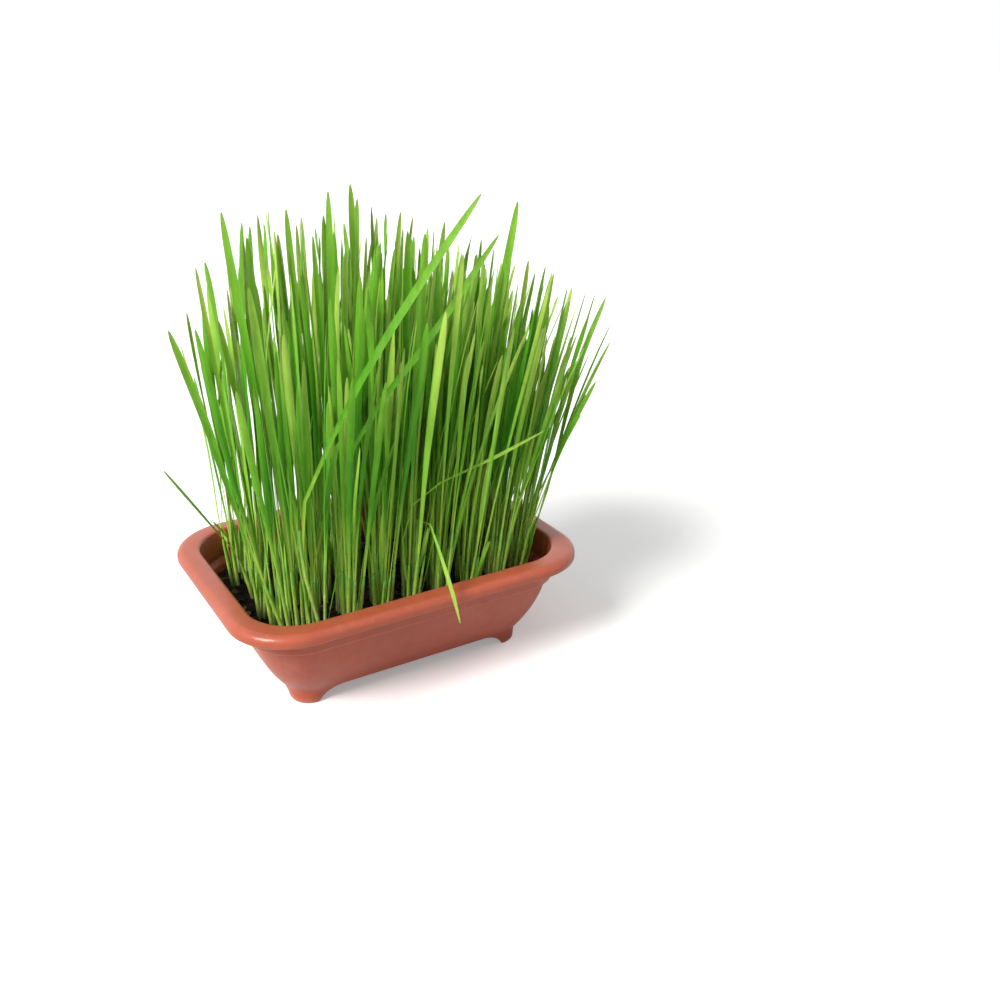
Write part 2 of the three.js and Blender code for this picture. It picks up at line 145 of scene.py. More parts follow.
TRIES = 60
REACH_X = 112
REACH_Y = 80
LEFT_REACH = 95
LEFT_SLANT = 0.28
LEFT_SHOULDER = 188
LEFT_TAPER = 0.7
SEED = 20
# The blades that leave the rest. Two of them are late leaves, one that hangs over the rim and one that lies
# across the stand. Each stray has its width as a share of the common one, the way it faces, and its path
# after its root. A small side leaf grows from the first.
DROOPING = (
    (0.4, -47, 70), (1.2, -49, 92), (2.6, -53.5, 96), (4.2, -62, 83), (5.6, -74.5, 61), (6.8, -REACH_Y, 45.9),
)
LYING = ((-6.5, -47, 80.4), (0.4, -49, 101.4), (15.6, -54, 111), (33.5, -58, 117), (64.9, -63, 129.1))
SIDE_LEAF = ((-71.4, 11.4, 61.3), (-77, 9.2, 77), (-84.9, 2, 90.3))
STRAYS = (
    (0.7, -0.236, ((-71.4, 11.4, 61.3), (-87.1, -4.4, 90.4), (-REACH_X, -29.4, 133.9))),
    (0.95, 2.576, DROOPING),
    (0.85, -0.527, LYING),
    (1.05, -0.655, ((-59.3, -49, 100), (-40.7, -60, 152.2), (-15, -66, 194.3), (25.2, -72, 246.6))),
    (0.95, -0.609, ((-35.2, -48, 119.2), (-26.5, -58, 149.6), (2.3, -65, 185), (35, -70, 228.2))),
    (0.9, -0.631, ((75.5, -38.6, 62), (84.4, -40.5, 90.8), (99.1, -43.8, 154.4), (REACH_X, -46.6, 186.9))),
    (1.1, -0.437, ((-80, -40, 90), (-91, -46.2, 135.3), (-96.7, -50, 160.3), (-109, -58, 202.1))),
    (1, -0.545, ((18, 50, 90), (22, 60, 150), (26, REACH_Y, 214))),
    (1.15, -0.545, ((-62, -15, 120), (-70, -14, 239))),
    (1.05, -0.4, ((-37, -8, 130), (-39.5, -10, 237.4))),
    (1.1, -0.7, ((-18, 0, 130), (-14.9, 0, 242.4))),
    (1.15, -0.3, ((-2, 2, 130), (-3.7, 0, 244.8))),
    (1.2, -0.7, ((55, -22, 130), (72.2, -26, 234.7))),
)
# How much slimmer the late leaves and the first stray are here than in the solid model
LATE_SLIMNESS = 0.65
FIRST_SLIMNESS = 0.7
# The side from which the late leaves are kept in view, and the room in front of them that is left free
OPEN_SIDE = np.array((-0.44, -0.8, 0.4))
OPEN_STEPS = range(4, 40, 4)
OPEN_HALF_WIDTH = 2.2


def random_from(seed):
    """Repeatable random numbers from 0 to 1, the same ones as the solid model's."""
    state = seed

    def draw():
        nonlocal state
        state = (state + 0x6D2B79F5) & 0xFFFFFFFF
        t = ((state ^ (state >> 15)) * (1 | state)) & 0xFFFFFFFF
        t = ((t + (t ^ (t >> 7)) * (61 | t)) & 0xFFFFFFFF) ^ t
        return (t ^ (t >> 14)) / 4294967296

    return draw


def depth_inside(px, py, x, y, radius):
    """Distance by which a point lies inside a rectangle of half sizes x and y with round corners."""
    dx = abs(px) - (x - radius)
    dy = abs(py) - (y - radius)
    corner = math.hypot(max(dx, 0), max(dy, 0))
    return radius - corner - min(max(dx, dy), 0)


def tuft_places(draw):
    """Tufts stand in a grid whose places are shifted a little and kept off the wall."""
    places = []
    for row in range(TUFT_ROWS):
        for column in range(TUFT_COLUMNS):
            stagger = TUFT_STAGGER if row % 2 else -TUFT_STAGGER
            x = TUFT_REACH_X * ((2 * column) / (TUFT_COLUMNS - 1) - 1) + stagger
            y = TUFT_REACH_Y * ((2 * row) / (TUFT_ROWS - 1) - 1)
            x += TUFT_JITTER * (2 * draw() - 1)
            y += TUFT_JITTER * (2 * draw() - 1)
            while depth_inside(x, y, TUFT_REACH_X + 1.5, TUFT_REACH_Y + 1, TUFT_CORNER) < 0:
                x *= 0.985
                y *= 0.985
            places.append((x, y))
    return places


class Shoot:
    """One blade: its centre line, the half width at each point, its facing and its twist. A blade of the
    growth rule also has the curve that its points lie on."""

    def __init__(self, points, scale, facing, twist, curve=None):
        self.points = np.array(points, float)
        steps = np.sqrt(((self.points[1:] - self.points[:-1]) ** 2).sum(1))
        run = np.concatenate([[0], np.cumsum(steps)])
        self.steps = steps
        self.shares = run / run[-1]
        self.halves = scale * np.interp(self.shares, STAGES, HALF_WIDTHS)
        self.scale = scale
        self.facing = facing
        self.twist = twist
        self.curve = curve
        self.widths = LEAF_WIDTHS
        self.slim = 1

    def room(self):
        """The room that the blade takes, as points (x, y, z, half width) along it."""
        room = []
        for k, step in enumerate(self.steps):
            count = max(1, math.ceil(step / ROOM_STEP))
            for j in range(count):
                s = (j + 0.5) / count
                at = self.points[k] + (self.points[k + 1] - self.points[k]) * s
                room.append((*at, self.halves[k] + (self.halves[k + 1] - self.halves[k]) * s))
        return room

    def clear_of(self, taken, share, gap, above):
        """Whether the blade stays clear of points taken by others."""
        if not len(taken):
            return True
        low = self.points.min(0)
        high = self.points.max(0)
        reach = self.halves.max() + taken[:, 3] + gap
        near = (taken[:, 2] >= above) & (taken[:, 0] >= low[0] - reach) & (taken[:, 0] <= high[0] + reach)
        near &= (taken[:, 1] >= low[1] - reach) & (taken[:, 1] <= high[1] + reach)
        points = taken[near, :3]
        halves = taken[near, 3]
        for k in range(len(self.points) - 1):
            a = self.points[k]
            d = self.points[k + 1] - a
            s = np.clip(((points - a) @ d) / (d @ d), 0, 1)
            away = np.sqrt(((points - a - s[:, None] * d) ** 2).sum(1))
            half = self.halves[k] + (self.halves[k + 1] - self.halves[k]) * s
            if (away < share * (halves + half) + gap).any():
                return False
        return True

    def inside_tray(self):
        """Whether the blade stays within the outermost tips, and inside the tray up to its rim."""
        tip = self.points[-1]
        high = max(0, tip[2] - LEFT_SHOULDER)
        if tip[0] < LEFT_SLANT * tip[1] + LEFT_TAPER * high - LEFT_REACH or tip[0] > REACH_X - 1.5:
            return False
        if abs(tip[1]) > REACH_Y - 1.5:
            return False
        for x, y, z, half in self.room():
            if z > TRAY_HEIGHT + 2:
                continue
            inset = WALL_TOP_INSET + WALL_THICKNESS + 1.5
            if z > STEP_HEIGHT - 1:
                inset = BAND_FOOT_INSET + WALL_THICKNESS
            half_x = TRAY_LENGTH / 2 - inset
            half_y = TRAY_WIDTH / 2 - inset
            if depth_inside(x, y, half_x, half_y, CORNER_RADIUS - inset) <= half + 0.8:
                return False
        return True


class Tuft:
    """A bunch of shoots that grow from one place."""

    def __init__(self, x, y):
        self.x = x
        self.y = y
        self.shoots = []


def grow_strays(tufts):
    """The blades that leave the rest, each from the tuft that is nearest to it."""
    for scale, facing, path in STRAYS:
        home = min(tufts, key=lambda t: math.hypot(t.x - path[0][0], t.y - path[0][1]))
        a = math.atan2(path[-1][1] - home.y, path[-1][0] - home.x)
        root = (home.x + ROOT_RING * math.cos(a), home.y + ROOT_RING * math.sin(a), ROOT_HEIGHT)
        stray = Shoot((root, *path), scale, facing, 0)
        if path in (DROOPING, LYING):
            stray.widths = LATE_WIDTHS
            stray.slim = LATE_SLIMNESS
        if path[0] == SIDE_LEAF[0]:
            stray.slim = FIRST_SLIMNESS
        home.shoots.append(stray)


def leaning_curve(root_x, root_y, lean_x, lean_y, length, bend):
    """A line of a given length that rises from its root and leans out, the less at first the smaller bend."""
    height = math.sqrt(length * length - lean_x * lean_x - lean_y * lean_y)

    def curve(t):
        out = bend * t + (1 - bend) * t * t
        return root_x + lean_x * out, root_y + lean_y * out, ROOT_HEIGHT + height * t

    return curve


def ordinary_shoot(draw, tuft, phase, k):
    """Shoot number k of a tuft, which stands on the ring, or in its middle if it is the last."""
    a = phase + (2 * math.pi * k) / (SHOOTS_PER_TUFT - 1) + 0.5 * (draw() - 0.5)
    ring = 0 if k == SHOOTS_PER_TUFT - 1 else ROOT_RING
    spread = SPREAD * (0.3 + 0.7 * draw()) * (1 if ring else 0.3)
    end = (tuft.x / TUFT_REACH_X) ** 2 if tuft.x > 0 else 0
    power = GAPPY_TALL_SHARE if tuft.x < GAPPY_END else TALL_SHARE
    length = (SHORTEST + (LONGEST - SHORTEST) * draw() ** power) * (1 - END_LOSS * end)
    share = length / LONGEST
    wander_x = WANDER * (draw() + draw() - 1)
    wander_y = WANDER * (draw() + draw() - 1)
    lean_x = share * (FAN_X * tuft.x + FAN_SHIFT + spread * math.cos(a) + wander_x)
    lean_y = share * (FAN_Y * tuft.y + spread * math.sin(a) + wander_y)
    bend = 0.35 + 0.6 * draw()
    scale = 0.8 + 0.35 * draw()
    facing = draw() * math.pi
    twist = 1.2 * (draw() - 0.5)
    root_x = tuft.x + ring * math.cos(a)
    root_y = tuft.y + ring * math.sin(a)
    curve = leaning_curve(root_x, root_y, lean_x, lean_y, length, bend)
    return Shoot([curve(t) for t in STAGES], scale, facing, twist, curve)


def grow_tufts():
    """The blades of every tuft, each fitted in among those before it."""
    draw = random_from(SEED)
    tufts = [Tuft(x, y) for x, y in tuft_places(draw)]
    grow_strays(tufts)
    taken = [(point, home) for home, t in enumerate(tufts) for s in t.shoots for point in s.room()]
    for home, tuft in enumerate(tufts):
        phase = draw() * 2 * math.pi
        own = [point for shoot in tuft.shoots for point in shoot.room()]
        others = np.array([point for point, owner in taken if owner != home])
        count = GAPPY_SHOOTS if tuft.x < GAPPY_END else SHOOTS_PER_TUFT
        for k in range(SHOOTS_PER_TUFT - count, SHOOTS_PER_TUFT):
            own_room = np.array(own)
            for _ in range(TRIES):
                shoot = ordinary_shoot(draw, tuft, phase, k)
                if not shoot.inside_tray() or not shoot.clear_of(others, 1, CLEARANCE, ROOT_HEIGHT):
                    continue
                if not shoot.clear_of(own_room, OWN_SHARE, 0, SOIL_HEIGHT):
                    continue
                tuft.shoots.append(shoot)
                room = shoot.room()
                own.extend(room)
                taken.extend((point, home) for point in room)
                break
    return tufts


# Mesh helpers


def outline(inset, height, radius=None, steps=14):
    """One level of the tray's plan, a rectangle with round corners, as points in metres."""
    half_x = TRAY_LENGTH / 2 - inset
    half_y = TRAY_WIDTH / 2 - inset
    r = CORNER_RADIUS - RADIUS_LOSS * inset if radius is None else radius
    points = []
    for quarter, (sx, sy) in enumerate(((1, 1), (-1, 1), (-1, -1), (1, -1))):
        for k in range(steps + 1):
            a = (quarter + k / steps) * math.pi / 2
            x = sx * (half_x - r) + r * math.cos(a)
            y = sy * (half_y - r) + r * math.sin(a)
            points.append(Vector((x, y, height)) * MM)
    return points


def extrude_border(bm, edges):
    """Extrudes a loop of edges, and gives its new vertices and edges."""
    made = bmesh.ops.extrude_edge_only(bm, edges=edges)["geom"]
    fresh = {item for item in made if isinstance(item, bmesh.types.BMVert)}
    return fresh, [e for e in made if isinstance(e, bmesh.types.BMEdge) and fresh.issuperset(e.verts)]


def skin_through(rings):
    """A closed skin through rings of points: a filled circle, extruded on from ring to ring."""
    bm = bmesh.new()
    place = bm.verts.layers.int.new("place")
    level = bm.verts.layers.int.new("level")
    bmesh.ops.create_circle(bm, segments=len(rings[0]), radius=1)
    for k, vert in enumerate(bm.verts):
        vert[place] = k
        vert.co = rings[0][k]
    edges = bm.edges[:]
    bmesh.ops.edgeloop_fill(bm, edges=edges)
    for number, ring in enumerate(rings[1:], 1):
        fresh, edges = extrude_border(bm, edges)
        for vert in fresh:
            vert.co = ring[vert[place]]
            vert[level] = number
    bmesh.ops.edgeloop_fill(bm, edges=edges)
    bmesh.ops.recalc_face_normals(bm, faces=bm.faces[:])
    return bm


def round_edges(bm, edges, size, segments=2):
    """Rounds edges of a bmesh, with a size in millimetres."""
    bmesh.ops.bevel(
        bm,
        geom=edges,
        offset=size * MM,
        offset_type="OFFSET",
        segments=segments,
        profile=0.5,
        affect="EDGES",
        clamp_overlap=True,
        material=-1,
    )


def new_piece(name, bm, materials, sharp=None):
    """An object from a bmesh, smooth except along edges that turn by more than the angle sharp."""
    for face in bm.faces:
        face.smooth = True
    if sharp is not None:
        for edge in bm.edges:
            edge.smooth = edge.calc_face_angle(0) < sharp
    mesh = bpy.data.meshes.new(name)
    bm.to_mesh(mesh)
    bm.free()
    for material in materials:
        mesh.materials.append(material)
    piece = bpy.data.objects.new(name, mesh)
    bpy.context.scene.collection.objects.link(piece)
    return piece


def cut_away(piece, cutters):
    """Cuts the cutters out of a piece, keeps the result in its mesh and deletes the cutters."""
    for cutter in cutters:
        cut = piece.modifiers.new("cut", "BOOLEAN")
        cut.operation = "DIFFERENCE"
        cut.solver = "EXACT"
        cut.object = cutter
    shown = piece.evaluated_get(bpy.context.evaluated_depsgraph_get())
    whole = piece.data
    piece.data = bpy.data.meshes.new_from_object(shown)
    piece.modifiers.clear()
    bpy.data.meshes.remove(whole)
    piece.data.name = piece.name
    for cutter in cutters:
        bpy.data.meshes.remove(cutter.data)
    if len(piece.data.polygons) < 100:
        raise RuntimeError(piece.name + " was lost when it was cut")


def finish_piece(piece, node):
    """Makes a piece stand for a solid of the frame, or go along with it where node is None."""
    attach(piece, "root")
    if node:
        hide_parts(node)


# Shader helpers


def fill(tree, node, inputs):
    """Sets each input of a node to a value, or links it to another node's output."""
    for key, value in inputs.items():
        if isinstance(value, bpy.types.NodeSocket):
            tree.links.new(value, node.inputs[key])
        else:
            node.inputs[key].default_value = value


def add(tree, kind, inputs=None, **settings):
    """A shader node with its inputs filled."""
    made = tree.nodes.new("ShaderNode" + kind)
    for key, value in settings.items():
        setattr(made, key, value)
    fill(tree, made, inputs or {})
    return made


def mix(tree, factor, first, second, blend="MIX"):
    """Two colours mixed by a factor."""
    return add(tree, "Mix", {0: factor, 6: first, 7: second}, data_type="RGBA", blend_type=blend).outputs[2]


def compute(tree, operation, first, second=0.0, clamp=False):
    """One step of arithmetic."""
    return add(tree, "Math", {0: first, 1: second}, operation=operation, use_clamp=clamp).outputs[0]


def remap(tree, value, low, high, to_low=0.0, to_high=1.0):
    """A value moved smoothly from one range to another, and kept in it."""
    ends = {"Value": value, "From Min": low, "From Max": high, "To Min": to_low, "To Max": to_high}
    return add(tree, "MapRange", ends, interpolation_type="SMOOTHSTEP").outputs[0]


def clouds(tree, vector, scale, detail=3.0, roughness=0.55):
    """Noise between 0 and 1, with a scale in features per metre."""
    inputs = {"Vector": vector, "Scale": scale, "Detail": detail, "Roughness": roughness}
    return add(tree, "TexNoise", inputs).outputs[0]


def ramp(tree, value, stops):
    """A colour that goes through stops, each a place and a colour."""
    made = add(tree, "ValToRGB", {0: value})
    elements = made.color_ramp.elements
    while len(elements) < len(stops):
        elements.new(1.0)
    for element, (place, colour) in zip(elements, stops):
        element.position = place
        element.color = colour
    return made.outputs[0]


def new_group(name, inputs, output):
    """An empty node group, as its tree, its named inputs and its output node."""
    tree = bpy.data.node_groups.new(name, "ShaderNodeTree")
    for label, kind, value in inputs:
        socket = tree.interface.new_socket(label, in_out="INPUT", socket_type="NodeSocket" + kind)
        if value is not None:
            socket.default_value = value
    label, kind = output
    tree.interface.new_socket(label, in_out="OUTPUT", socket_type="NodeSocket" + kind)
    return tree, tree.nodes.new("NodeGroupInput").outputs, tree.nodes.new("NodeGroupOutput").inputs


def use_group(tree, name, inputs):
    """A node group placed in a material with its own values."""
    if name not in bpy.data.node_groups:
        GROUPS[name]()
    made = tree.nodes.new("ShaderNodeGroup")
    made.node_tree = bpy.data.node_groups[name]
    fill(tree, made, inputs)
    return made.outputs[0]


def build_uneven_tone():
    """A colour that is darker and lighter in soft patches."""
    inputs = (
        ("Colour", "Color", (0.5, 0.5, 0.5, 1)),
        ("Vector", "Vector", None),
        ("Scale", "Float", 30.0),
        ("Darkest", "Float", 0.85),
        ("Lightest", "Float", 1.15),
    )
    tree, given, result = new_group("uneven_tone", inputs, ("Colour", "Color"))
    patches = clouds(tree, given["Vector"], given["Scale"], 5.0, 0.6)
    level = remap(tree, patches, 0.3, 0.7, given["Darkest"], given["Lightest"])
    scaled = add(tree, "VectorMath", {0: given["Colour"], "Scale": level}, operation="SCALE")
    tree.links.new(scaled.outputs[0], result["Colour"])


def build_fine_grain():
    """A height of two sizes of grain, for a Bump node."""
    inputs = (("Vector", "Vector", None), ("Scale", "Float", 800.0), ("Coarse Share", "Float", 0.5))
    tree, given, result = new_group("fine_grain", inputs, ("Height", "Float"))
    fine = clouds(tree, given["Vector"], given["Scale"], 4.0, 0.6)
    coarse_scale = compute(tree, "MULTIPLY", given["Scale"], 0.27)
    coarse = clouds(tree, given["Vector"], coarse_scale, 2.0, 0.5)
    blend = add(tree, "Mix", {0: given["Coarse Share"], 2: fine, 3: coarse}, data_type="FLOAT")
    tree.links.new(blend.outputs[0], result["Height"])


def build_patchy_mask():
    """A mask broken into patches, as wear, dirt and dust are."""
    inputs = (
        ("Mask", "Float", 1.0),
        ("Vector", "Vector", None),
        ("Scale", "Float", 120.0),
        ("Cover", "Float", 0.5),
    )
    tree, given, result = new_group("patchy_mask", inputs, ("Mask", "Float"))
    patches = clouds(tree, given["Vector"], given["Scale"], 6.0, 0.65)
    start = compute(tree, "SUBTRACT", 0.85, compute(tree, "MULTIPLY", given["Cover"], 0.6))
    spread = compute(tree, "DIVIDE", compute(tree, "SUBTRACT", patches, start), 0.16, clamp=True)
    tree.links.new(compute(tree, "MULTIPLY", spread, given["Mask"]), result["Mask"])


def build_plant_veins():
    """The height of the fine lines that run along a leaf or a stem, from its UV map."""
    inputs = (("Across", "Float", 0.5), ("Lines", "Float", 12.0), ("Along", "Float", 0.0))
    tree, given, result = new_group("plant_veins", inputs, ("Height", "Float"))
    around = compute(tree, "MULTIPLY", given["Lines"], 2 * math.pi)
    turns = compute(tree, "MULTIPLY", given["Across"], around)
    ridges = remap(tree, compute(tree, "SINE", turns), -1.0, 1.0)
    across = compute(tree, "MULTIPLY", given["Across"], 6.0)
    place = add(tree, "CombineXYZ", {"X": across, "Y": given["Along"]}).outputs[0]
    uneven = remap(tree, clouds(tree, place, 9.0, 2.0), 0.2, 0.8, 0.5, 1.0)
    tree.links.new(compute(tree, "MULTIPLY", ridges, uneven), result["Height"])


GROUPS = {
    "uneven_tone": build_uneven_tone,
    "fine_grain": build_fine_grain,
    "patchy_mask": build_patchy_mask,
    "plant_veins": build_plant_veins,
}


def new_material(name):
    """A material with its tree and its Principled BSDF node."""
    material = bpy.data.materials.new(name)
    material.use_nodes = True
    return material, material.node_tree, material.node_tree.nodes["Principled BSDF"]


def object_place(tree):
    """The place on the piece, in metres."""
    return add(tree, "TexCoord").outputs["Object"]


def attribute(tree, name):
    """The value of a named attribute of the mesh."""
    return add(tree, "Attribute", attribute_name=name).outputs["Fac"]


def wire(tree, shader, **sockets):
    """Fills the shader's own sockets, with an underscore in a name for a space."""
    fill(tree, shader, {name.replace("_", " "): value for name, value in sockets.items()})


# Materials


def terracotta_plastic(settings):
    """Satin moulded plastic in terracotta colour, with scuffed edges and soil smudges on its inside."""
    material, tree, shader = new_material("terracotta_plastic")
    place = object_place(tree)
    inside = attribute(tree, "inside")
    edge = attribute(tree, "edge")
    height = add(tree, "SeparateXYZ", {0: place}).outputs["Z"]
    tone = use_group(tree, "uneven_tone", {
        "Colour": settings.plastic_colour, "Vector": place, "Scale": 16.0, "Darkest": 0.93, "Lightest": 1.07,
    })
    tone = use_group(tree, "uneven_tone", {
        "Colour": tone, "Vector": place, "Scale": 170.0, "Darkest": 0.96, "Lightest": 1.05,
    })
    scuffs = use_group(tree, "patchy_mask", {
        "Mask": edge, "Vector": place, "Scale": 260.0, "Cover": settings.wear,
    })
    tone = mix(tree, compute(tree, "MULTIPLY", scuffs, 0.22), tone, settings.scuff_and_bounce_colour)
    # The lowest millimetres of the feet are lightened with the scuff colour: rubbing where they stand, and
    # painted light bounced up from the floor
    foot = remap(tree, height, 0.0045, 0.0012)
    tone = mix(tree, compute(tree, "MULTIPLY", foot, 0.3), tone, settings.scuff_and_bounce_colour)
    flow = add(tree, "Mapping", {"Vector": place, "Scale": (1.0, 1.0, 0.12)}).outputs[0]
    dusty = use_group(tree, "patchy_mask", {"Mask": 1.0, "Vector": flow, "Scale": 45.0, "Cover": 0.42})
    tone = mix(tree, compute(tree, "MULTIPLY", dusty, 0.1), tone, settings.dust_colour)
    # Paler patches in the dust colour round a place low on the near corner
    corner = add(tree, "VectorMath", {0: place, 1: PALE_PATCH_PLACE}, operation="DISTANCE")
    nearby = remap(tree, corner.outputs["Value"], 0.03, 0.006)
    pale_patches = use_group(tree, "patchy_mask", {
        "Mask": nearby, "Vector": flow, "Scale": 110.0, "Cover": 0.6,
    })
    tone = mix(tree, compute(tree, "MULTIPLY", pale_patches, 0.22), tone, settings.dust_colour)
    low = remap(tree, height, 0.052, 0.038)
    smudged = compute(tree, "MULTIPLY", inside, low)
    smudges = use_group(tree, "patchy_mask", {
        "Mask": smudged, "Vector": place, "Scale": 190.0, "Cover": 0.62,
    })
    tone = mix(tree, compute(tree, "MULTIPLY", smudges, 0.8), tone, (0.02, 0.012, 0.008, 1))
    sheen = remap(tree, clouds(tree, place, 60.0, 4.0), 0.3, 0.7, 0.28, 0.4)
    rough = compute(tree, "ADD", sheen, compute(tree, "MULTIPLY", scuffs, 0.2))
    rough = compute(tree, "ADD", rough, compute(tree, "MULTIPLY", smudges, 0.35), clamp=True)
    grain = use_group(tree, "fine_grain", {"Vector": place, "Scale": 900.0, "Coarse Share": 0.6})
    bump = add(tree, "Bump", {"Strength": 0.3, "Distance": 0.00012, "Height": grain})
    streaks = add(tree, "Mapping", {
        "Vector": place, "Rotation": (0.3, 0.5, 0.7), "Scale": (60.0, 900.0, 400.0),
    })
    scratch = remap(tree, clouds(tree, streaks.outputs[0], 1.0, 1.0), 0.62, 0.75)
    deep = add(tree, "Bump", {
        "Strength": 0.12, "Distance": 0.0001, "Height": scratch, "Normal": bump.outputs[0],
    }, invert=True)
    wire(tree, shader, Base_Color=tone, Roughness=rough, Normal=deep.outputs[0])
    wire(tree, shader, IOR=1.49, Specular_IOR_Level=0.4)
    return material


def potting_soil(settings):
    """Moist, nearly black potting soil with brown and pale specks."""
    material, tree, shader = new_material("potting_soil")
    place = object_place(tree)
    tone = use_group(tree, "uneven_tone", {
        "Colour": settings.soil_colour, "Vector": place, "Scale": 140.0, "Darkest": 0.5, "Lightest": 1.7,
    })
    crumbs = add(tree, "TexVoronoi", {"Vector": place, "Scale": 420.0, "Randomness": 1.0})
    brown = remap(tree, add(tree, "SeparateColor", {0: crumbs.outputs["Color"]}).outputs[0], 0.82, 0.97)
    tone = mix(tree, compute(tree, "MULTIPLY", brown, 0.75), tone, settings.speck_colour)
    pale = remap(tree, add(tree, "SeparateColor", {0: crumbs.outputs["Color"]}).outputs[1], 0.965, 0.99)
    tone = mix(tree, compute(tree, "MULTIPLY", pale, 0.5), tone, (0.16, 0.12, 0.085, 1))
    damp = use_group(tree, "patchy_mask", {"Mask": 1.0, "Vector": place, "Scale": 90.0, "Cover": 0.55})
    rough = remap(tree, damp, 0.0, 1.0, 0.92, 0.55)
    grain = use_group(tree, "fine_grain", {"Vector": place, "Scale": 1500.0, "Coarse Share": 0.45})
    bump = add(tree, "Bump", {"Strength": 0.9, "Distance": 0.0006, "Height": grain})
    rounded = add(tree, "Bump", {
        "Strength": 0.7, "Distance": 0.0007, "Height": crumbs.outputs["Distance"], "Normal": bump.outputs[0],
    }, invert=True)
    wire(tree, shader, Base_Color=tone, Roughness=rough, Normal=rounded.outputs[0])
    wire(tree, shader, Specular_IOR_Level=0.2)
    return material


def pine_bark(settings):
    """Reddish-brown bark with grain along each chip."""
    material, tree, shader = new_material("pine_bark")
    place = object_place(tree)
    tone = use_group(tree, "uneven_tone", {
        "Colour": settings.bark_colour, "Vector": place, "Scale": 420.0, "Darkest": 0.45, "Lightest": 1.6,
    })
    soiled = use_group(tree, "patchy_mask", {"Mask": 1.0, "Vector": place, "Scale": 330.0, "Cover": 0.5})
    tone = mix(tree, compute(tree, "MULTIPLY", soiled, 0.7), tone, settings.soil_colour)
    rough = remap(tree, soiled, 0.0, 1.0, 0.62, 0.9)
    grain = use_group(tree, "fine_grain", {"Vector": place, "Scale": 2200.0, "Coarse Share": 0.5})
    bump = add(tree, "Bump", {"Strength": 0.8, "Distance": 0.0004, "Height": grain})
    wire(tree, shader, Base_Color=tone, Roughness=rough, Normal=bump.outputs[0])
    return material


def wheat_leaf(settings):
    """A young wheat leaf, pale where it leaves its sheath and yellow-green at its tip."""
    material, tree, shader = new_material("wheat_leaf")
    spot = add(tree, "SeparateXYZ", {0: add(tree, "UVMap").outputs[0]}).outputs
    shade = attribute(tree, "shade")
    cool = mix(tree, remap(tree, shade, 0.3, 0.0), settings.leaf_colour, settings.cool_colour)
    body = mix(tree, remap(tree, shade, 0.1, 0.95), cool, settings.fresh_colour)
    upper = mix(tree, remap(tree, shade, 0.0, 0.9), settings.upper_colour, settings.tip_colour)
    low = mix(tree, remap(tree, spot["Y"], 0.0, 0.2), settings.sheath_colour, settings.stem_colour)
    tone = mix(tree, remap(tree, spot["Y"], 0.2, 0.55), low, body)
    tone = mix(tree, remap(tree, spot["Y"], 0.55, 0.98), tone, upper)
    place = object_place(tree)
    stretched = add(tree, "Mapping", {"Vector": place, "Scale": (1.0, 1.0, 0.12)}).outputs[0]
    tone = use_group(tree, "uneven_tone", {
        "Colour": tone, "Vector": stretched, "Scale": 330.0, "Darkest": 0.84, "Lightest": 1.16,
    })
    centre = compute(tree, "ABSOLUTE", compute(tree, "SUBTRACT", spot["X"], 0.5))
    rib = remap(tree, centre, 0.06, 0.0)
    tone = mix(tree, compute(tree, "MULTIPLY", rib, 0.25), tone, settings.fresh_colour)
    dry = compute(tree, "MULTIPLY", remap(tree, spot["Y"], 0.965, 0.995), remap(tree, shade, 0.86, 0.97))
    tone = mix(tree, compute(tree, "MULTIPLY", dry, 0.4), tone, settings.dry_colour)
    veins = use_group(tree, "plant_veins", {"Across": spot["X"], "Lines": 11.0, "Along": spot["Y"]})
    tone = mix(tree, compute(tree, "MULTIPLY", veins, 0.08), tone, settings.fresh_colour)
    rough = remap(tree, clouds(tree, place, 260.0, 3.0), 0.3, 0.7, 0.4, 0.55)
    bump = add(tree, "Bump", {"Strength": 0.5, "Distance": 0.00008, "Height": veins})
    wire(tree, shader, Base_Color=tone, Roughness=rough, Normal=bump.outputs[0])
    wire(tree, shader, Specular_IOR_Level=0.12, Subsurface_Weight=settings.see_through)
    wire(tree, shader, Subsurface_Radius=(0.8, 0.8, 0.3), Subsurface_Scale=0.001)
    return material


def wheat_sheath(settings):
    """The pale sleeve at the foot of each shoot."""
    material, tree, shader = new_material("wheat_sheath")
    spot = add(tree, "SeparateXYZ", {0: add(tree, "UVMap").outputs[0]}).outputs
    shade = attribute(tree, "shade")
    along = ramp(tree, spot["Y"], (
        (0.0, settings.root_colour),
        (0.25, settings.sheath_colour),
        (0.6, settings.stem_colour),
        (1.0, settings.leaf_colour),
    ))
    fresh = mix(tree, compute(tree, "MULTIPLY", shade, 0.35), along, settings.fresh_colour)
    place = object_place(tree)
    tone = use_group(tree, "uneven_tone", {
        "Colour": fresh, "Vector": place, "Scale": 300.0, "Darkest": 0.82, "Lightest": 1.15,
    })
    height = add(tree, "SeparateXYZ", {0: place}).outputs["Z"]
    splashed = use_group(tree, "patchy_mask", {
        "Mask": remap(tree, height, 0.047, 0.038), "Vector": place, "Scale": 600.0, "Cover": 0.55,
    })
    tone = mix(tree, compute(tree, "MULTIPLY", splashed, 0.7), tone, (0.03, 0.02, 0.012, 1))
    veins = use_group(tree, "plant_veins", {"Across": spot["X"], "Lines": 9.0, "Along": spot["Y"]})
    tone = mix(tree, compute(tree, "MULTIPLY", veins, 0.12), tone, settings.root_colour)
    rough = remap(tree, clouds(tree, place, 240.0, 3.0), 0.3, 0.7, 0.42, 0.6)
    bump = add(tree, "Bump", {"Strength": 0.5, "Distance": 0.0001, "Height": veins})
    wire(tree, shader, Base_Color=tone, Roughness=rough, Normal=bump.outputs[0])
    wire(tree, shader, Subsurface_Weight=settings.see_through)
    wire(tree, shader, Subsurface_Radius=(0.7, 1.0, 0.3), Subsurface_Scale=0.0015)
    return material


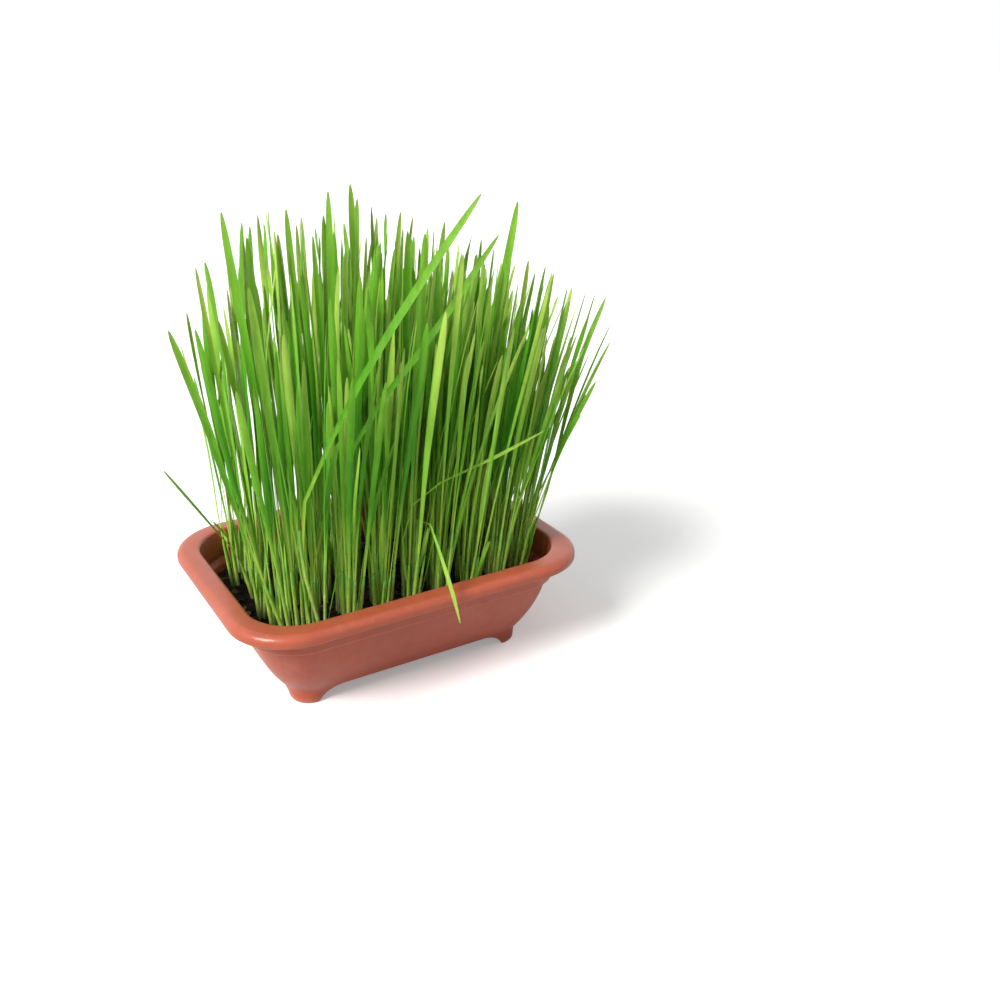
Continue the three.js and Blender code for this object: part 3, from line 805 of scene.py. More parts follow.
def studio_floor(settings):
    """A matt pale floor with a faint unevenness, lit a little from within, as a backlit table is. It
    throws less light back than it shows."""
    material, tree, shader = new_material("studio_floor")
    place = object_place(tree)
    tone = use_group(tree, "uneven_tone", {
        "Colour": settings.floor_colour, "Vector": place, "Scale": 1.4, "Darkest": 0.99, "Lightest": 1.01,
    })
    path = add(tree, "LightPath").outputs
    thrown = compute(tree, "MULTIPLY", path["Is Diffuse Ray"], FLOOR_BOUNCE_LOSS)
    tone = mix(tree, thrown, tone, (0.0, 0.0, 0.0, 1.0))
    glow = compute(tree, "MULTIPLY", path["Is Camera Ray"], FLOOR_GLOW)
    wire(tree, shader, Base_Color=tone, Roughness=0.9, Specular_IOR_Level=0.1)
    wire(tree, shader, Emission_Color=settings.floor_colour, Emission_Strength=glow)
    return material


# Tray


def wall_inset(height):
    """Inset of the bowl-shaped wall's outside at a height."""
    d = STEP_HEIGHT - height
    return WALL_TOP_INSET + WALL_SLOPE * d + WALL_BOW * d * d


def tray_section():
    """The tray's wall, first from under its floor, down inside the feet, up the outside and over the rim,
    then down the inside to the floor, each as (inset, height, corner radius, edge rounding)."""
    feet = (
        (FOOT_INSET + FOOT_WALL - 1, BASE_HEIGHT + 0.2, FOOT_RADIUS - 2, 0),
        (FOOT_INSET + FOOT_WALL, 0, FOOT_RADIUS - 2, 0.5),
        (FOOT_INSET + 0.7, 0, FOOT_RADIUS, 0.3),
        (FOOT_INSET + 0.1, 1.1, FOOT_RADIUS, 0.3),
        (FOOT_INSET, 2.8, FOOT_RADIUS, 0),
        (FOOT_INSET - 0.6, 5.6, FOOT_RADIUS + 1.6, 0),
    )
    wall = [(wall_inset(z), z, None, 0) for z in (8, 10, 12.5, 15.5, 19, 23, 27, 31, 35, 38.5)]
    band = (
        (WALL_TOP_INSET, STEP_HEIGHT - 0.4, None, 0.35),
        (BAND_FOOT_INSET + 0.2, STEP_HEIGHT, None, 0.25),
        (BAND_FOOT_INSET - 0.2, STEP_HEIGHT + 1, None, 0.25),
        (BAND_TOP_INSET, TRAY_HEIGHT - RIM_THICKNESS, None, 0.4),
        (2.3, TRAY_HEIGHT - RIM_THICKNESS, None, 0.4),
        (2.0, TRAY_HEIGHT - SKIRT_HEIGHT + 0.4, None, 0.15),
        (0.8, TRAY_HEIGHT - SKIRT_HEIGHT, None, 0.3),
        (0, TRAY_HEIGHT - SKIRT_HEIGHT + 0.8, None, 0.3),
    )
    rim = []
    for k in range(10):
        a = math.radians(8 + 82 * k / 9)
        inset = RIM_EDGE_RADIUS * (1 - math.cos(a))
        rim.append((inset, TRAY_HEIGHT + RIM_EDGE_RADIUS * (math.sin(a) - 1), None, 0))
    inner = (
        (RIM_WIDTH - 1.8, TRAY_HEIGHT, None, 0),
        (RIM_WIDTH - 0.7, TRAY_HEIGHT - 0.25, None, 0),
        (RIM_WIDTH, TRAY_HEIGHT - 1.1, None, 0),
        (BAND_FOOT_INSET + WALL_THICKNESS, STEP_HEIGHT + 1.6, None, 0.4),
        (WALL_TOP_INSET + WALL_THICKNESS, STEP_HEIGHT - 0.6, None, 0.5),
    )
    bowl = [(wall_inset(z) + WALL_THICKNESS, z, None, 0) for z in (37, 33, 28, 22, 17, 12.4)]
    floor = [(FLOOR_INSET, FLOOR_HEIGHT, None, 0)]
    return [*feet, *wall, *band, *rim], [*inner, *bowl, *floor]


def arch_cutter(half, depth, along_x):
    """A bar with flared ends that cuts the arch between two feet on both sides of the tray."""
    bm = bmesh.new()
    run = [(half, -3)]
    for k in range(13):
        t = k / 12
        x = half - 2 * ARCH_LEAN * t * (1 - t) - ARCH_RUN * t * t
        run.append((x, BASE_HEIGHT * (1 - (1 - t) ** 2)))
    run += [(-x, z) for x, z in reversed(run)]
    verts = [bm.verts.new(Vector((x, -depth, z)) * MM) for x, z in run]
    face = bmesh.ops.contextual_create(bm, geom=verts)["faces"]
    moved = bmesh.ops.extrude_face_region(bm, geom=face)["geom"]
    fresh = [item for item in moved if isinstance(item, bmesh.types.BMVert)]
    bmesh.ops.translate(bm, verts=fresh, vec=Vector((0, 2 * depth, 0)) * MM)
    if not along_x:
        bmesh.ops.rotate(bm, verts=bm.verts[:], cent=(0, 0, 0), matrix=Matrix.Rotation(math.pi / 2, 3, "Z"))
    bmesh.ops.recalc_face_normals(bm, faces=bm.faces[:])
    return new_piece("arch_cutter", bm, [])


def drain_cutter(x, y):
    """A round bar that cuts one drainage hole."""
    bm = bmesh.new()
    place = Matrix.Translation(Vector((x, y, FLOOR_HEIGHT)) * MM)
    r = DRAIN_RADIUS * MM
    bmesh.ops.create_cone(bm, cap_ends=True, segments=20, radius1=r, radius2=r, depth=8 * MM, matrix=place)
    return new_piece("drain_cutter", bm, [])


def build_tray(settings):
    """The tray as one moulded piece."""
    outer, inner = tray_section()
    section = outer + inner
    bm = skin_through([outline(inset, z, radius) for inset, z, radius, _ in section])
    level = bm.verts.layers.int["level"]
    inside = bm.verts.layers.float.new("inside")
    edge = bm.verts.layers.float.new("edge")
    for vert in bm.verts:
        inset, z, _, _ = section[vert[level]]
        vert[inside] = float(vert[level] > len(outer))
        vert[edge] = float(z > TRAY_HEIGHT - 2.2 and 0.05 < inset < 3)
    for number, (_, _, _, rounding) in enumerate(section):
        if rounding:
            ring = [e for e in bm.edges if all(vert[level] == number for vert in e.verts)]
            round_edges(bm, ring, rounding)
    tray = new_piece("tray_moulding", bm, [terracotta_plastic(settings)])
    long_half = TRAY_LENGTH / 2 - FOOT_INSET - LONG_FOOT
    short_half = TRAY_WIDTH / 2 - FOOT_INSET - SHORT_FOOT
    cutters = [arch_cutter(long_half, TRAY_WIDTH, True), arch_cutter(short_half, TRAY_LENGTH, False)]
    cutters += [drain_cutter(sx * DRAIN_X, sy * DRAIN_Y) for sx in (-1, 1) for sy in (-1, 1)]
    cut_away(tray, cutters)
    bm = bmesh.new()
    bm.from_mesh(tray.data)
    bmesh.ops.remove_doubles(bm, verts=bm.verts[:], dist=0.002 * MM)
    low = [e for e in bm.edges if max(v.co.z for v in e.verts) < (BASE_HEIGHT + 0.1) * MM]
    cut_edges = [e for e in low if e.is_manifold and e.calc_face_angle(0) > math.radians(50)]
    round_edges(bm, cut_edges, 0.35)
    for face in bm.faces:
        face.smooth = True
    for e in bm.edges:
        e.smooth = e.calc_face_angle(0) < math.radians(38)
    bm.to_mesh(tray.data)
    bm.free()
    return tray


# Soil


def into_plan(x, y, half_x, half_y, radius):
    """Moves a point of a plain rectangle into the same rectangle with round corners."""
    dx = abs(x) - (half_x - radius)
    dy = abs(y) - (half_y - radius)
    if dx <= 0 or dy <= 0:
        return x, y
    share = max(dx, dy) / math.hypot(dx, dy)
    return math.copysign(half_x - radius + dx * share, x), math.copysign(half_y - radius + dy * share, y)


def soil_plan(height):
    """Half sizes and corner radius of the soil at a height."""
    inset = wall_inset(height) + WALL_THICKNESS + SOIL_EDGE_GAP
    return TRAY_LENGTH / 2 - inset, TRAY_WIDTH / 2 - inset, CORNER_RADIUS - RADIUS_LOSS * inset


def soil_level(x, y, tufts, lumps):
    """Height of the soil's surface, which is heaped a little round each tuft and sinks at the wall."""
    half_x, half_y, radius = soil_plan(SOIL_HEIGHT)
    rolling = noise.fractal(Vector((x / 17, y / 17, 1.7)), 1.0, 2.0, 3)
    clods = noise.fractal(Vector((x / 4.3, y / 4.3, 8.2)), 0.9, 2.2, 3)
    wall = min(depth_inside(x, y, half_x, half_y, radius) / 9, 1)
    near = min(math.hypot(x - t.x, y - t.y) for t in tufts)
    heap = 1.1 * max(0, 1 - near / 7)
    return SOIL_HEIGHT - 0.4 + lumps * (0.8 * rolling + 0.55 * clods) + heap - 1.2 * (1 - wall) ** 2


def build_soil(settings, tufts):
    """The bed of soil, as a lumpy sheet whose border is extruded down to the tray's floor."""
    half_x, half_y, radius = soil_plan(SOIL_HEIGHT)
    bm = bmesh.new()
    bmesh.ops.create_grid(bm, x_segments=150, y_segments=106, size=1)
    lumps = settings.lump_height / MM
    for vert in bm.verts:
        x, y = into_plan(vert.co.x * half_x, vert.co.y * half_y, half_x, half_y, radius)
        vert.co = Vector((x, y, soil_level(x, y, tufts, lumps))) * MM
    edges = [e for e in bm.edges if e.is_boundary]
    upper = (half_x, half_y)
    for height in (30, 22, 14, FLOOR_HEIGHT + 0.3):
        fresh, edges = extrude_border(bm, edges)
        lower_x, lower_y, _ = soil_plan(max(height, LOWEST_SOIL_WALL))
        lower = (lower_x - SOIL_TAPER, lower_y - SOIL_TAPER)
        for vert in fresh:
            vert.co = (vert.co.x * lower[0] / upper[0], vert.co.y * lower[1] / upper[1], height * MM)
        upper = lower
    bmesh.ops.edgeloop_fill(bm, edges=edges)
    bmesh.ops.recalc_face_normals(bm, faces=bm.faces[:])
    return new_piece("soil_bed", bm, [potting_soil(settings)], math.radians(60))


def free_place(dice, tufts, clear):
    """A place on the soil that is clear of every tuft."""
    half_x, half_y, radius = soil_plan(SOIL_HEIGHT)
    while True:
        x = dice.uniform(-half_x, half_x)
        y = dice.uniform(-half_y, half_y)
        if depth_inside(x, y, half_x, half_y, radius) > 1.5 + clear / 2:
            if all(math.hypot(x - t.x, y - t.y) > clear for t in tufts):
                return x, y


def build_clods(settings, tufts):
    """Loose crumbs of soil, each a small rough ball of twenty faces."""
    dice = random.Random(SEED + 3)
    bm = bmesh.new()
    bmesh.ops.create_icosphere(bm, subdivisions=1, radius=MM)
    ball = bpy.data.meshes.new("clod")
    bm.to_mesh(ball)
    bm.clear()
    lumps = settings.lump_height / MM
    for _ in range(settings.clod_count):
        x, y = free_place(dice, tufts, 1.5)
        size = 0.45 + 1.5 * dice.random() ** 2.5
        z = soil_level(x, y, tufts, lumps) + 0.25 * size
        turn = Matrix.Rotation(dice.uniform(0, math.pi), 4, Vector((dice.random(), dice.random(), 1)))
        place = Matrix.Translation(Vector((x, y, z)) * MM) @ turn
        stretch = (dice.uniform(0.9, 1.5), dice.uniform(0.7, 1.1), dice.uniform(0.6, 1), 1)
        place = place @ Matrix.Diagonal(stretch) @ Matrix.Scale(size, 4)
        before = len(bm.verts)
        bm.from_mesh(ball)
        bm.verts.ensure_lookup_table()
        for vert in bm.verts[before:]:
            rough = Vector([dice.uniform(-0.22, 0.22) * MM for _ in range(3)])
            vert.co = place @ (vert.co + rough)
    return new_piece("soil_clods", bm, [bpy.data.materials["potting_soil"]], math.radians(50))


def build_bark(settings, tufts):
    """Chips of bark that lie half sunk in the soil, those that show at the front first."""
    dice = random.Random(SEED + 5)
    bm = bmesh.new()
    lumps = settings.lump_height / MM
    chips = list(FRONT_CHIPS)
    while len(chips) < settings.bark_count:
        x, y = free_place(dice, tufts, 6.5)
        length = dice.uniform(3, 8)
        chips.append((x, y, length, length * dice.uniform(0.25, 0.5), dice.uniform(0, math.pi)))
    for x, y, length, width, turn in chips:
        z = soil_level(x, y, tufts, lumps) + 0.35
        place = Matrix.Translation(Vector((x, y, z)) * MM) @ Matrix.Rotation(turn, 4, "Z")
        place = place @ Matrix.Rotation(dice.uniform(-0.25, 0.25), 4, "Y")
        place = place @ Matrix.Diagonal((length, width, dice.uniform(0.7, 1.4), 1))
        before = len(bm.verts)
        made = bmesh.ops.create_cube(bm, size=MM, matrix=place)["verts"]
        edges = list({e for vert in made for e in vert.link_edges})
        bmesh.ops.subdivide_edges(bm, edges=edges, cuts=1, use_grid_fill=True)
        bm.verts.ensure_lookup_table()
        for vert in bm.verts[before:]:
            vert.co += Vector([dice.uniform(-0.16, 0.16) * width * MM for _ in range(3)])
    return new_piece("bark_chips", bm, [pine_bark(settings)], math.radians(40))


# Wheat


def smooth_line(points):
    """A smooth line through points, as a function of the share of its length."""
    points = [Vector(p) for p in points]
    ends = [points[0] * 2 - points[1], *points, points[-1] * 2 - points[-2]]
    steps = [(b - a).length for a, b in zip(points, points[1:])]
    total = sum(steps)

    def at(share):
        run = share * total
        k = 0
        while k < len(steps) - 1 and run > steps[k]:
            run -= steps[k]
            k += 1
        s = min(run / steps[k], 1)
        a, b, c, d = ends[k : k + 4]
        into = (c - a) * (steps[k] / max((c - b).length + (b - a).length, 1e-6))
        out = (d - b) * (steps[k] / max((d - c).length + (c - b).length, 1e-6))
        one = b * (2 * s**3 - 3 * s**2 + 1) + into * (s**3 - 2 * s**2 + s)
        return one + c * (3 * s**2 - 2 * s**3) + out * (s**3 - s**2)

    return at


LEAF_SHARES = (0, 0.1, 0.22, 0.35, 0.48, 0.6, 0.71, 0.81, 0.89, 0.945, 0.975, 0.993, 1)
LEAF_WIDTHS = (0.34, 0.36, 0.39, 0.46, 0.6, 0.8, 0.95, 1, 0.93, 0.76, 0.54, 0.26, 0)
LATE_WIDTHS = (0.42, 0.42, 0.42, 0.4, 0.34, 0.42, 0.72, 1, 0.93, 0.62, 0.4, 0.2, 0)
LEAF_FOLDS = (1.1, 1, 0.85, 0.68, 0.55, 0.46, 0.4, 0.36, 0.34, 0.34, 0.34, 0.32, 0.3)
LEAF_ACROSS = (1, 0.5, 0, 0.5)
LEAF_THICKNESS = 0.26
STRAY_SHADE = 0.25
LATE_SHADE = 0.75
SHEATH_SHARES = (0, 0.3, 0.62, 0.9, 1)
SHEATH_WIDTHS = (1.12, 1.08, 1, 0.86, 0.5)
SHEATH_ACROSS = (0, 1 / 3, 2 / 3, 1, 2 / 3, 1 / 3)


def straight_skin(name, across, shares, pointed, sharp):
    """A straight skin that leaves or sheaths are bent from. Each vertex knows its place round it and its
    level, the UV map runs across and along, and the edges along the places in sharp are kept sharp."""
    count = len(across)
    rings = []
    for share in shares:
        turns = [2 * math.pi * k / count for k in range(count)]
        rings.append([Vector((math.cos(a), math.sin(a), 10 * share)) for a in turns])
    bm = skin_through(rings)
    place = bm.verts.layers.int["place"]
    level = bm.verts.layers.int["level"]
    uv = bm.loops.layers.uv.new("UVMap")
    for face in bm.faces:
        face.smooth = True
        for loop in face.loops:
            loop[uv].uv = (across[loop.vert[place]], shares[loop.vert[level]])
    for edge in bm.edges:
        a, b = (vert[place] for vert in edge.verts)
        edge.smooth = a != b or a not in sharp
    if pointed:
        last = [vert for vert in bm.verts if vert[level] == len(shares) - 1]
        bmesh.ops.pointmerge(bm, verts=last, merge_co=Vector((0, 0, 10)))
    mesh = bpy.data.meshes.new(name)
    bm.to_mesh(mesh)
    bm.free()
    return mesh


def lay_skin(bm, skin, rings, shade, material):
    """Adds a copy of a straight skin to a bmesh and moves each vertex to its place in the rings."""
    verts_before = len(bm.verts)
    faces_before = len(bm.faces)
    bm.from_mesh(skin)
    place = bm.verts.layers.int["place"]
    level = bm.verts.layers.int["level"]
    shades = bm.verts.layers.float["shade"]
    bm.verts.ensure_lookup_table()
    bm.faces.ensure_lookup_table()
    for vert in bm.verts[verts_before:]:
        vert.co = rings[vert[level]][vert[place]] * MM
        vert[shades] = shade
    for face in bm.faces[faces_before:]:
        face.material_index = material


def directions(line, share, facing):
    """The directions along a leaf, to its side and to its back, at a share of its line."""
    before = Vector(line(max(share - 0.02, 0)))
    forward = (Vector(line(min(share + 0.02, 1))) - before).normalized()
    side = Vector((math.cos(facing), math.sin(facing), 0))
    side = (side - forward * side.dot(forward)).normalized()
    return forward, side, forward.cross(side)


def leaf_rings(line, half, widths, facing, twist, curl, fold):
    """The four corners of a folded leaf at each of its stages."""
    rings = []
    for share, width, angle in zip(LEAF_SHARES, widths, LEAF_FOLDS):
        turn = facing + twist * share + curl * max(share - 0.55, 0) ** 2
        _, side, back = directions(line, share, turn)
        centre = Vector(line(share))
        out = side * (half * width * math.cos(angle * fold))
        depth = half * width * math.sin(angle * fold)
        rise = back * (depth / 3)
        thick = back * (LEAF_THICKNESS / 2 * min(1, 3 * (1 - share) + 0.2))
        middle = centre + 2 * rise
        rings.append((centre + out - rise, middle + thick, centre - out - rise, middle - thick))
    return rings


def sheath_rings(line, top, radius, facing):
    """The corners of a sheath, which narrows to the leaf that it holds."""
    rings = []
    for share, width in zip(SHEATH_SHARES, SHEATH_WIDTHS):
        _, side, back = directions(line, share * top, facing)
        centre = Vector(line(share * top))
        ring = []
        for k in range(len(SHEATH_ACROSS)):
            a = 2 * math.pi * k / len(SHEATH_ACROSS)
            ring.append(centre + (side * math.cos(a) + back * (0.8 * math.sin(a))) * (radius * width))
        rings.append(ring)
    return rings


def second_leaf(dice, shoot):
    """A younger leaf that leaves a shoot low down and stands away from it."""
    start = dice.uniform(0.13, 0.27)
    stop = dice.uniform(0.7, 1)
    a = dice.gauss(-0.5, 1.3)
    away = dice.uniform(5, 16) + 24 * dice.random() ** 2.5

    def curve(t):
        x, y, z = shoot.curve(start + (stop - start) * t)
        out = away * t**1.4
        return x + out * math.cos(a), y + out * math.sin(a), z

    points = [curve(t) for t in STAGES]
    return Shoot(points, dice.uniform(0.6, 0.95), a + math.pi / 2, dice.uniform(-0.8, 0.8), curve)


def thin_shoot(dice, tuft, low, high):
    """A thinner shoot between those of the solid model, with a length between low and high."""
    a = dice.uniform(0, 2 * math.pi)
    ring = dice.uniform(0.8, ROOT_RING + 0.4)
    length = dice.uniform(low, high) * (1 - END_LOSS * (max(tuft.x, 0) / TUFT_REACH_X) ** 2)
    share = length / LONGEST
    spread = dice.uniform(3, 26)
    lean_x = share * (FAN_X * tuft.x + FAN_SHIFT + spread * math.cos(a) + dice.gauss(5, 13))
    lean_y = share * (FAN_Y * tuft.y + spread * math.sin(a) + dice.gauss(0, 10))
    bend = dice.uniform(0.3, 1)
    root_x = tuft.x + ring * math.cos(a)
    root_y = tuft.y + ring * math.sin(a)
    curve = leaning_curve(root_x, root_y, lean_x, lean_y, length, bend)
    scale = dice.uniform(0.5, 0.66) + 0.2 * share
    return Shoot([curve(t) for t in STAGES], scale, dice.uniform(0, math.pi), dice.uniform(-1, 1), curve)


def fullness(tuft):
    """How densely a tuft is filled: the tray's left end is thin, and lets light through."""
    return min(max((tuft.x + 62) / 75, 0.12), 1)


def room_in_front(shoot):
    """Points in front of a leaf that the added leaves stay clear of, so that it shows."""
    points = np.array(shoot.room())[2:, :3]
    return [(*(point + step * OPEN_SIDE), OPEN_HALF_WIDTH, -1) for step in OPEN_STEPS for point in points]


def grow_extras(tufts, settings):
    """Second leaves and thin shoots, where they find room between the shoots of the solid model."""
    dice = random.Random(SEED + 7)
    shoots = [(tuft, shoot) for tuft in tufts for shoot in tuft.shoots]
    rows = [(*point, number) for number, (_, shoot) in enumerate(shoots) for point in shoot.room()]
    for _, shoot in shoots:
        if shoot.widths is LATE_WIDTHS:
            rows += room_in_front(shoot)
    taken = np.array(rows)

    def fit(grow, tries, share, above, own=None):
        """The first leaf that grow makes which finds room, apart from that of the shoot own."""
        nonlocal taken
        for _ in range(tries):
            leaf = grow()
            others = taken[taken[:, 4] != own, :4]
            if leaf.inside_tray() and leaf.clear_of(others, share, 0, above + leaf.points[0][2]):
                taken = np.concatenate([taken, [(*point, -1) for point in leaf.room()]])
                return [leaf]
        return []

    for tuft in tufts:
        tuft.extras = []
        tuft.second = []
    home = min(tufts, key=lambda t: math.hypot(t.x - SIDE_LEAF[0][0], t.y - SIDE_LEAF[0][1]))
    home.second.append(Shoot(SIDE_LEAF, 0.5, -0.236, 0))
    for number, (tuft, shoot) in enumerate(shoots):
        if shoot.curve and dice.random() < settings.second_share * fullness(tuft):
            tuft.second += fit(lambda: second_leaf(dice, shoot), tries=8, own=number, share=0.6, above=14)
    for tuft in tufts:
        for _ in range(round(settings.thin_shoots * fullness(tuft))):
            tuft.extras += fit(lambda: thin_shoot(dice, tuft, 95, 190), tries=6, share=0.55, above=16)
        for _ in range(dice.choice((0, 0, 1, 1, 2))):
            tuft.extras += fit(lambda: thin_shoot(dice, tuft, 30, 75), tries=6, share=0.55, above=10)


def swaying(line, dice):
    """A line with a slow sway added to it, which dies out at its root."""
    size = dice.uniform(0.3, 1.3)
    a = dice.uniform(0, 2 * math.pi)
    start = dice.uniform(0, 2 * math.pi)
    turns = dice.uniform(4, 8)

    def at(share):
        x, y, z = line(share)
        out = size * min(1, 3 * share) * math.sin(start + turns * share)
        return x + out * math.cos(a), y + out * math.sin(a), z

    return at


def build_tuft(name, tuft, settings, dice, leaf_skin, sheath_skin, materials):
    """One tuft: a sheath and a leaf for each shoot, and its second leaves. Each leaf has a shade from 0,
    the darkest and bluest, to 1, the freshest."""
    bm = bmesh.new()
    bm.verts.layers.float.new("shade")
    for shoot in [*tuft.shoots, *tuft.extras, *tuft.second]:
        line = swaying(shoot.curve, dice) if shoot.curve else smooth_line(shoot.points)
        shade = dice.random() ** 1.4 if shoot.curve else STRAY_SHADE
        if shoot.widths is LATE_WIDTHS:
            shade = LATE_SHADE
        half = HALF_WIDTHS[1] * shoot.scale**1.4 * settings.leaf_width * shoot.slim
        curl = dice.choice((-16, -9, 9, 16)) if dice.random() < 0.16 else dice.uniform(-3, 3)
        curl = curl if shoot.curve else 0
        fold = dice.uniform(0.6, 1.15)
        rings = leaf_rings(line, half, shoot.widths, shoot.facing, shoot.twist, curl, fold)
        lay_skin(bm, leaf_skin, rings, shade, 0)
        if shoot not in tuft.second:
            top = dice.uniform(0.2, 0.32)
            radius = settings.stem_width / MM / 2 * (0.55 + 0.5 * shoot.scale)
            lay_skin(bm, sheath_skin, sheath_rings(line, top, radius, shoot.facing), shade, 1)
    for layer in ("place", "level"):
        bm.verts.layers.int.remove(bm.verts.layers.int[layer])
    return new_piece(name, bm, materials)


# Stage


def build_floor(settings):
    """A wide round floor."""
    bm = bmesh.new()
    bmesh.ops.create_circle(bm, cap_ends=True, segments=96, radius=FLOOR_RADIUS)
    return new_piece("studio_floor", bm, [studio_floor(settings)])


def sun_light(settings):
    """The main light, broad and soft, from above and from the tray's left end."""
    light = bpy.data.lights.new("key_light", "SUN")
    light.energy = settings.key_strength
    light.angle = settings.key_spread
    light.color = KEY_COLOUR
    lamp = bpy.data.objects.new("key_light", light)
    lamp.rotation_euler = Vector(KEY_DIRECTION).to_track_quat("Z", "Y").to_euler()
    bpy.context.scene.collection.objects.link(lamp)


def build_sky(settings):
    """A surround that looks white to the camera, is brighter still in reflections, and lights the tray
    mostly from overhead."""
    world = bpy.data.worlds.new("studio_surround")
    world.use_nodes = True
    tree = world.node_tree
    background = tree.nodes["Background"]
    path = add(tree, "LightPath").outputs
    height = add(tree, "SeparateXYZ", {0: add(tree, "TexCoord").outputs["Generated"]}).outputs["Z"]
    overhead = compute(tree, "MULTIPLY", compute(tree, "MAXIMUM", height, 0.0), settings.overhead_strength)
    light = compute(tree, "ADD", overhead, settings.surround_strength)
    reflected = {0: path["Is Glossy Ray"], 2: light, 3: settings.reflected_strength}
    light = add(tree, "Mix", reflected, data_type="FLOAT").outputs[0]
    strength = add(tree, "Mix", {0: path["Is Camera Ray"], 2: light, 3: 1.0}, data_type="FLOAT")
    background.inputs["Color"].default_value = settings.surround_colour
    tree.links.new(strength.outputs[0], background.inputs["Strength"])
    bpy.context.scene.world = world


def build_camera():
    """The camera at the photo's angle."""
    camera = bpy.data.cameras.new("photo_camera")
    camera.sensor_width = CAMERA_SENSOR
    camera.lens = CAMERA_LENS
    camera.clip_start = 0.01
    placed = bpy.data.objects.new("photo_camera", camera)
    placed.location = CAMERA_PLACE
    placed.rotation_euler = (math.pi / 2 - CAMERA_TILT, 0, CAMERA_TURN)
    bpy.context.scene.collection.objects.link(placed)
    bpy.context.scene.camera = placed


# Settings, operators and panel


def colour_setting(name, description, value):
    """A colour property."""
    return FloatVectorProperty(
        name=name,
        description=description,
        default=(*value, 1.0),
        size=4,
        min=0.0,
        max=1.0,
        subtype="COLOR",
    )


def share_setting(name, description, value):
    """A property between 0 and 1."""
    return FloatProperty(
        name=name,
        description=description,
        default=value,
        min=0.0,
        max=1.0,
        subtype="FACTOR",
    )


def length_setting(name, description, value, low, high):
    """A length property, in metres."""
    return FloatProperty(
        name=name,
        description=description,
        default=value,
        min=low,
        max=high,
        subtype="DISTANCE",
        unit="LENGTH",
    )


def strength_setting(name, description, value):
    """A property for how strong a light is."""
    return FloatProperty(name=name, description=description, default=value, min=0.0)


def count_setting(name, description, value, low, high):
    """A property that counts things."""
    return IntProperty(name=name, description=description, default=value, min=low, max=high)


class WHEATGRASS_PG_tray(bpy.types.PropertyGroup):
    """Finish of the tray."""

    plastic_colour: colour_setting("Plastic", "Colour of the moulded plastic", (0.42, 0.087, 0.043))
    # This colour also paints the light bounced up from the floor onto the bottom of the feet
    scuff_and_bounce_colour: colour_setting("Scuffs", "Colour of rubbed plastic", (0.6, 0.24, 0.17))
    dust_colour: colour_setting("Dust", "Colour of the thin dust on the walls", (0.5, 0.3, 0.24))
    wear: share_setting("Wear", "How much of the rim's outer edge is rubbed", 0.5)


class WHEATGRASS_PG_soil(bpy.types.PropertyGroup):
    """Shape and finish of the soil."""

    soil_colour: colour_setting("Soil", "Colour of moist soil", (0.007, 0.005, 0.0045))
    speck_colour: colour_setting("Specks", "Colour of the brown crumbs in the soil", (0.06, 0.028, 0.016))
    bark_colour: colour_setting("Bark", "Colour of the bark chips", (0.13, 0.042, 0.024))
    lump_height: length_setting("Lumps", "Height of the lumps in the soil's surface", 0.001, 0.0, 0.003)
    clod_count: count_setting("Crumbs", "Number of loose crumbs", 1500, 0, 4000)
    bark_count: count_setting("Chips", "Number of bark chips", 34, 2, 80)


class WHEATGRASS_PG_wheat(bpy.types.PropertyGroup):
    """Shape and finish of the wheat."""

    root_colour: colour_setting("Foot", "Colour of a shoot at the soil", (0.56, 0.58, 0.34))
    sheath_colour: colour_setting("Sheath", "Colour of the pale sheath", (0.42, 0.54, 0.18))
    stem_colour: colour_setting("Stem", "Colour where the sheath ends", (0.38, 0.61, 0.075))
    leaf_colour: colour_setting("Leaf", "Colour of the leaf's middle", (0.075, 0.31, 0.01))
    cool_colour: colour_setting("Cool leaf", "Colour of the bluest leaves", (0.04, 0.23, 0.01))
    fresh_colour: colour_setting("Fresh leaf", "Colour of the freshest leaves", (0.23, 0.54, 0.045))
    upper_colour: colour_setting("Upper leaf", "Colour near the tips of most leaves", (0.12, 0.38, 0.02))
    tip_colour: colour_setting("Tip", "Colour near the tips of the freshest leaves", (0.4, 0.62, 0.09))
    dry_colour: colour_setting("Dry tip", "Colour of the few tips that have dried", (0.45, 0.38, 0.16))
    leaf_width: FloatProperty(
        name="Leaf width",
        description="Width of the leaves, as a share of the solid model's",
        default=0.92,
        min=0.5,
        max=1.5,
    )
    stem_width: length_setting("Stem width", "Width of a shoot at the soil", 0.0019, 0.001, 0.004)
    second_share: share_setting("Second leaves", "Share of the shoots that try to grow a second leaf", 0.85)
    thin_shoots: count_setting("Thin shoots", "Number of thin shoots that try to grow in each tuft", 8, 0, 30)
    see_through: share_setting("Translucency", "How much light goes on through a leaf", 0.25)


class WHEATGRASS_PG_stage(bpy.types.PropertyGroup):
    """Floor and lights."""

    floor_colour: colour_setting("Floor", "Colour of the floor", (0.9, 0.9, 0.9))
    surround_colour: colour_setting("Surround", "Colour of the light all round", (1.0, 1.0, 1.0))
    surround_strength: strength_setting("Surround light", "Strength of the light from all round", 0.12)
    overhead_strength: strength_setting("Overhead light", "What is added to it towards the zenith", 0.48)
    reflected_strength: strength_setting("Reflected light", "Brightness of the surround in reflections", 1.6)
    key_strength: strength_setting("Key light", "Strength of the main light", 4.0)
    key_spread: FloatProperty(
        name="Key spread",
        description="Angle that the main light fills, which softens its shadows",
        default=math.radians(26),
        min=0.0,
        max=math.pi,
        subtype="ANGLE",
        unit="ROTATION",
    )


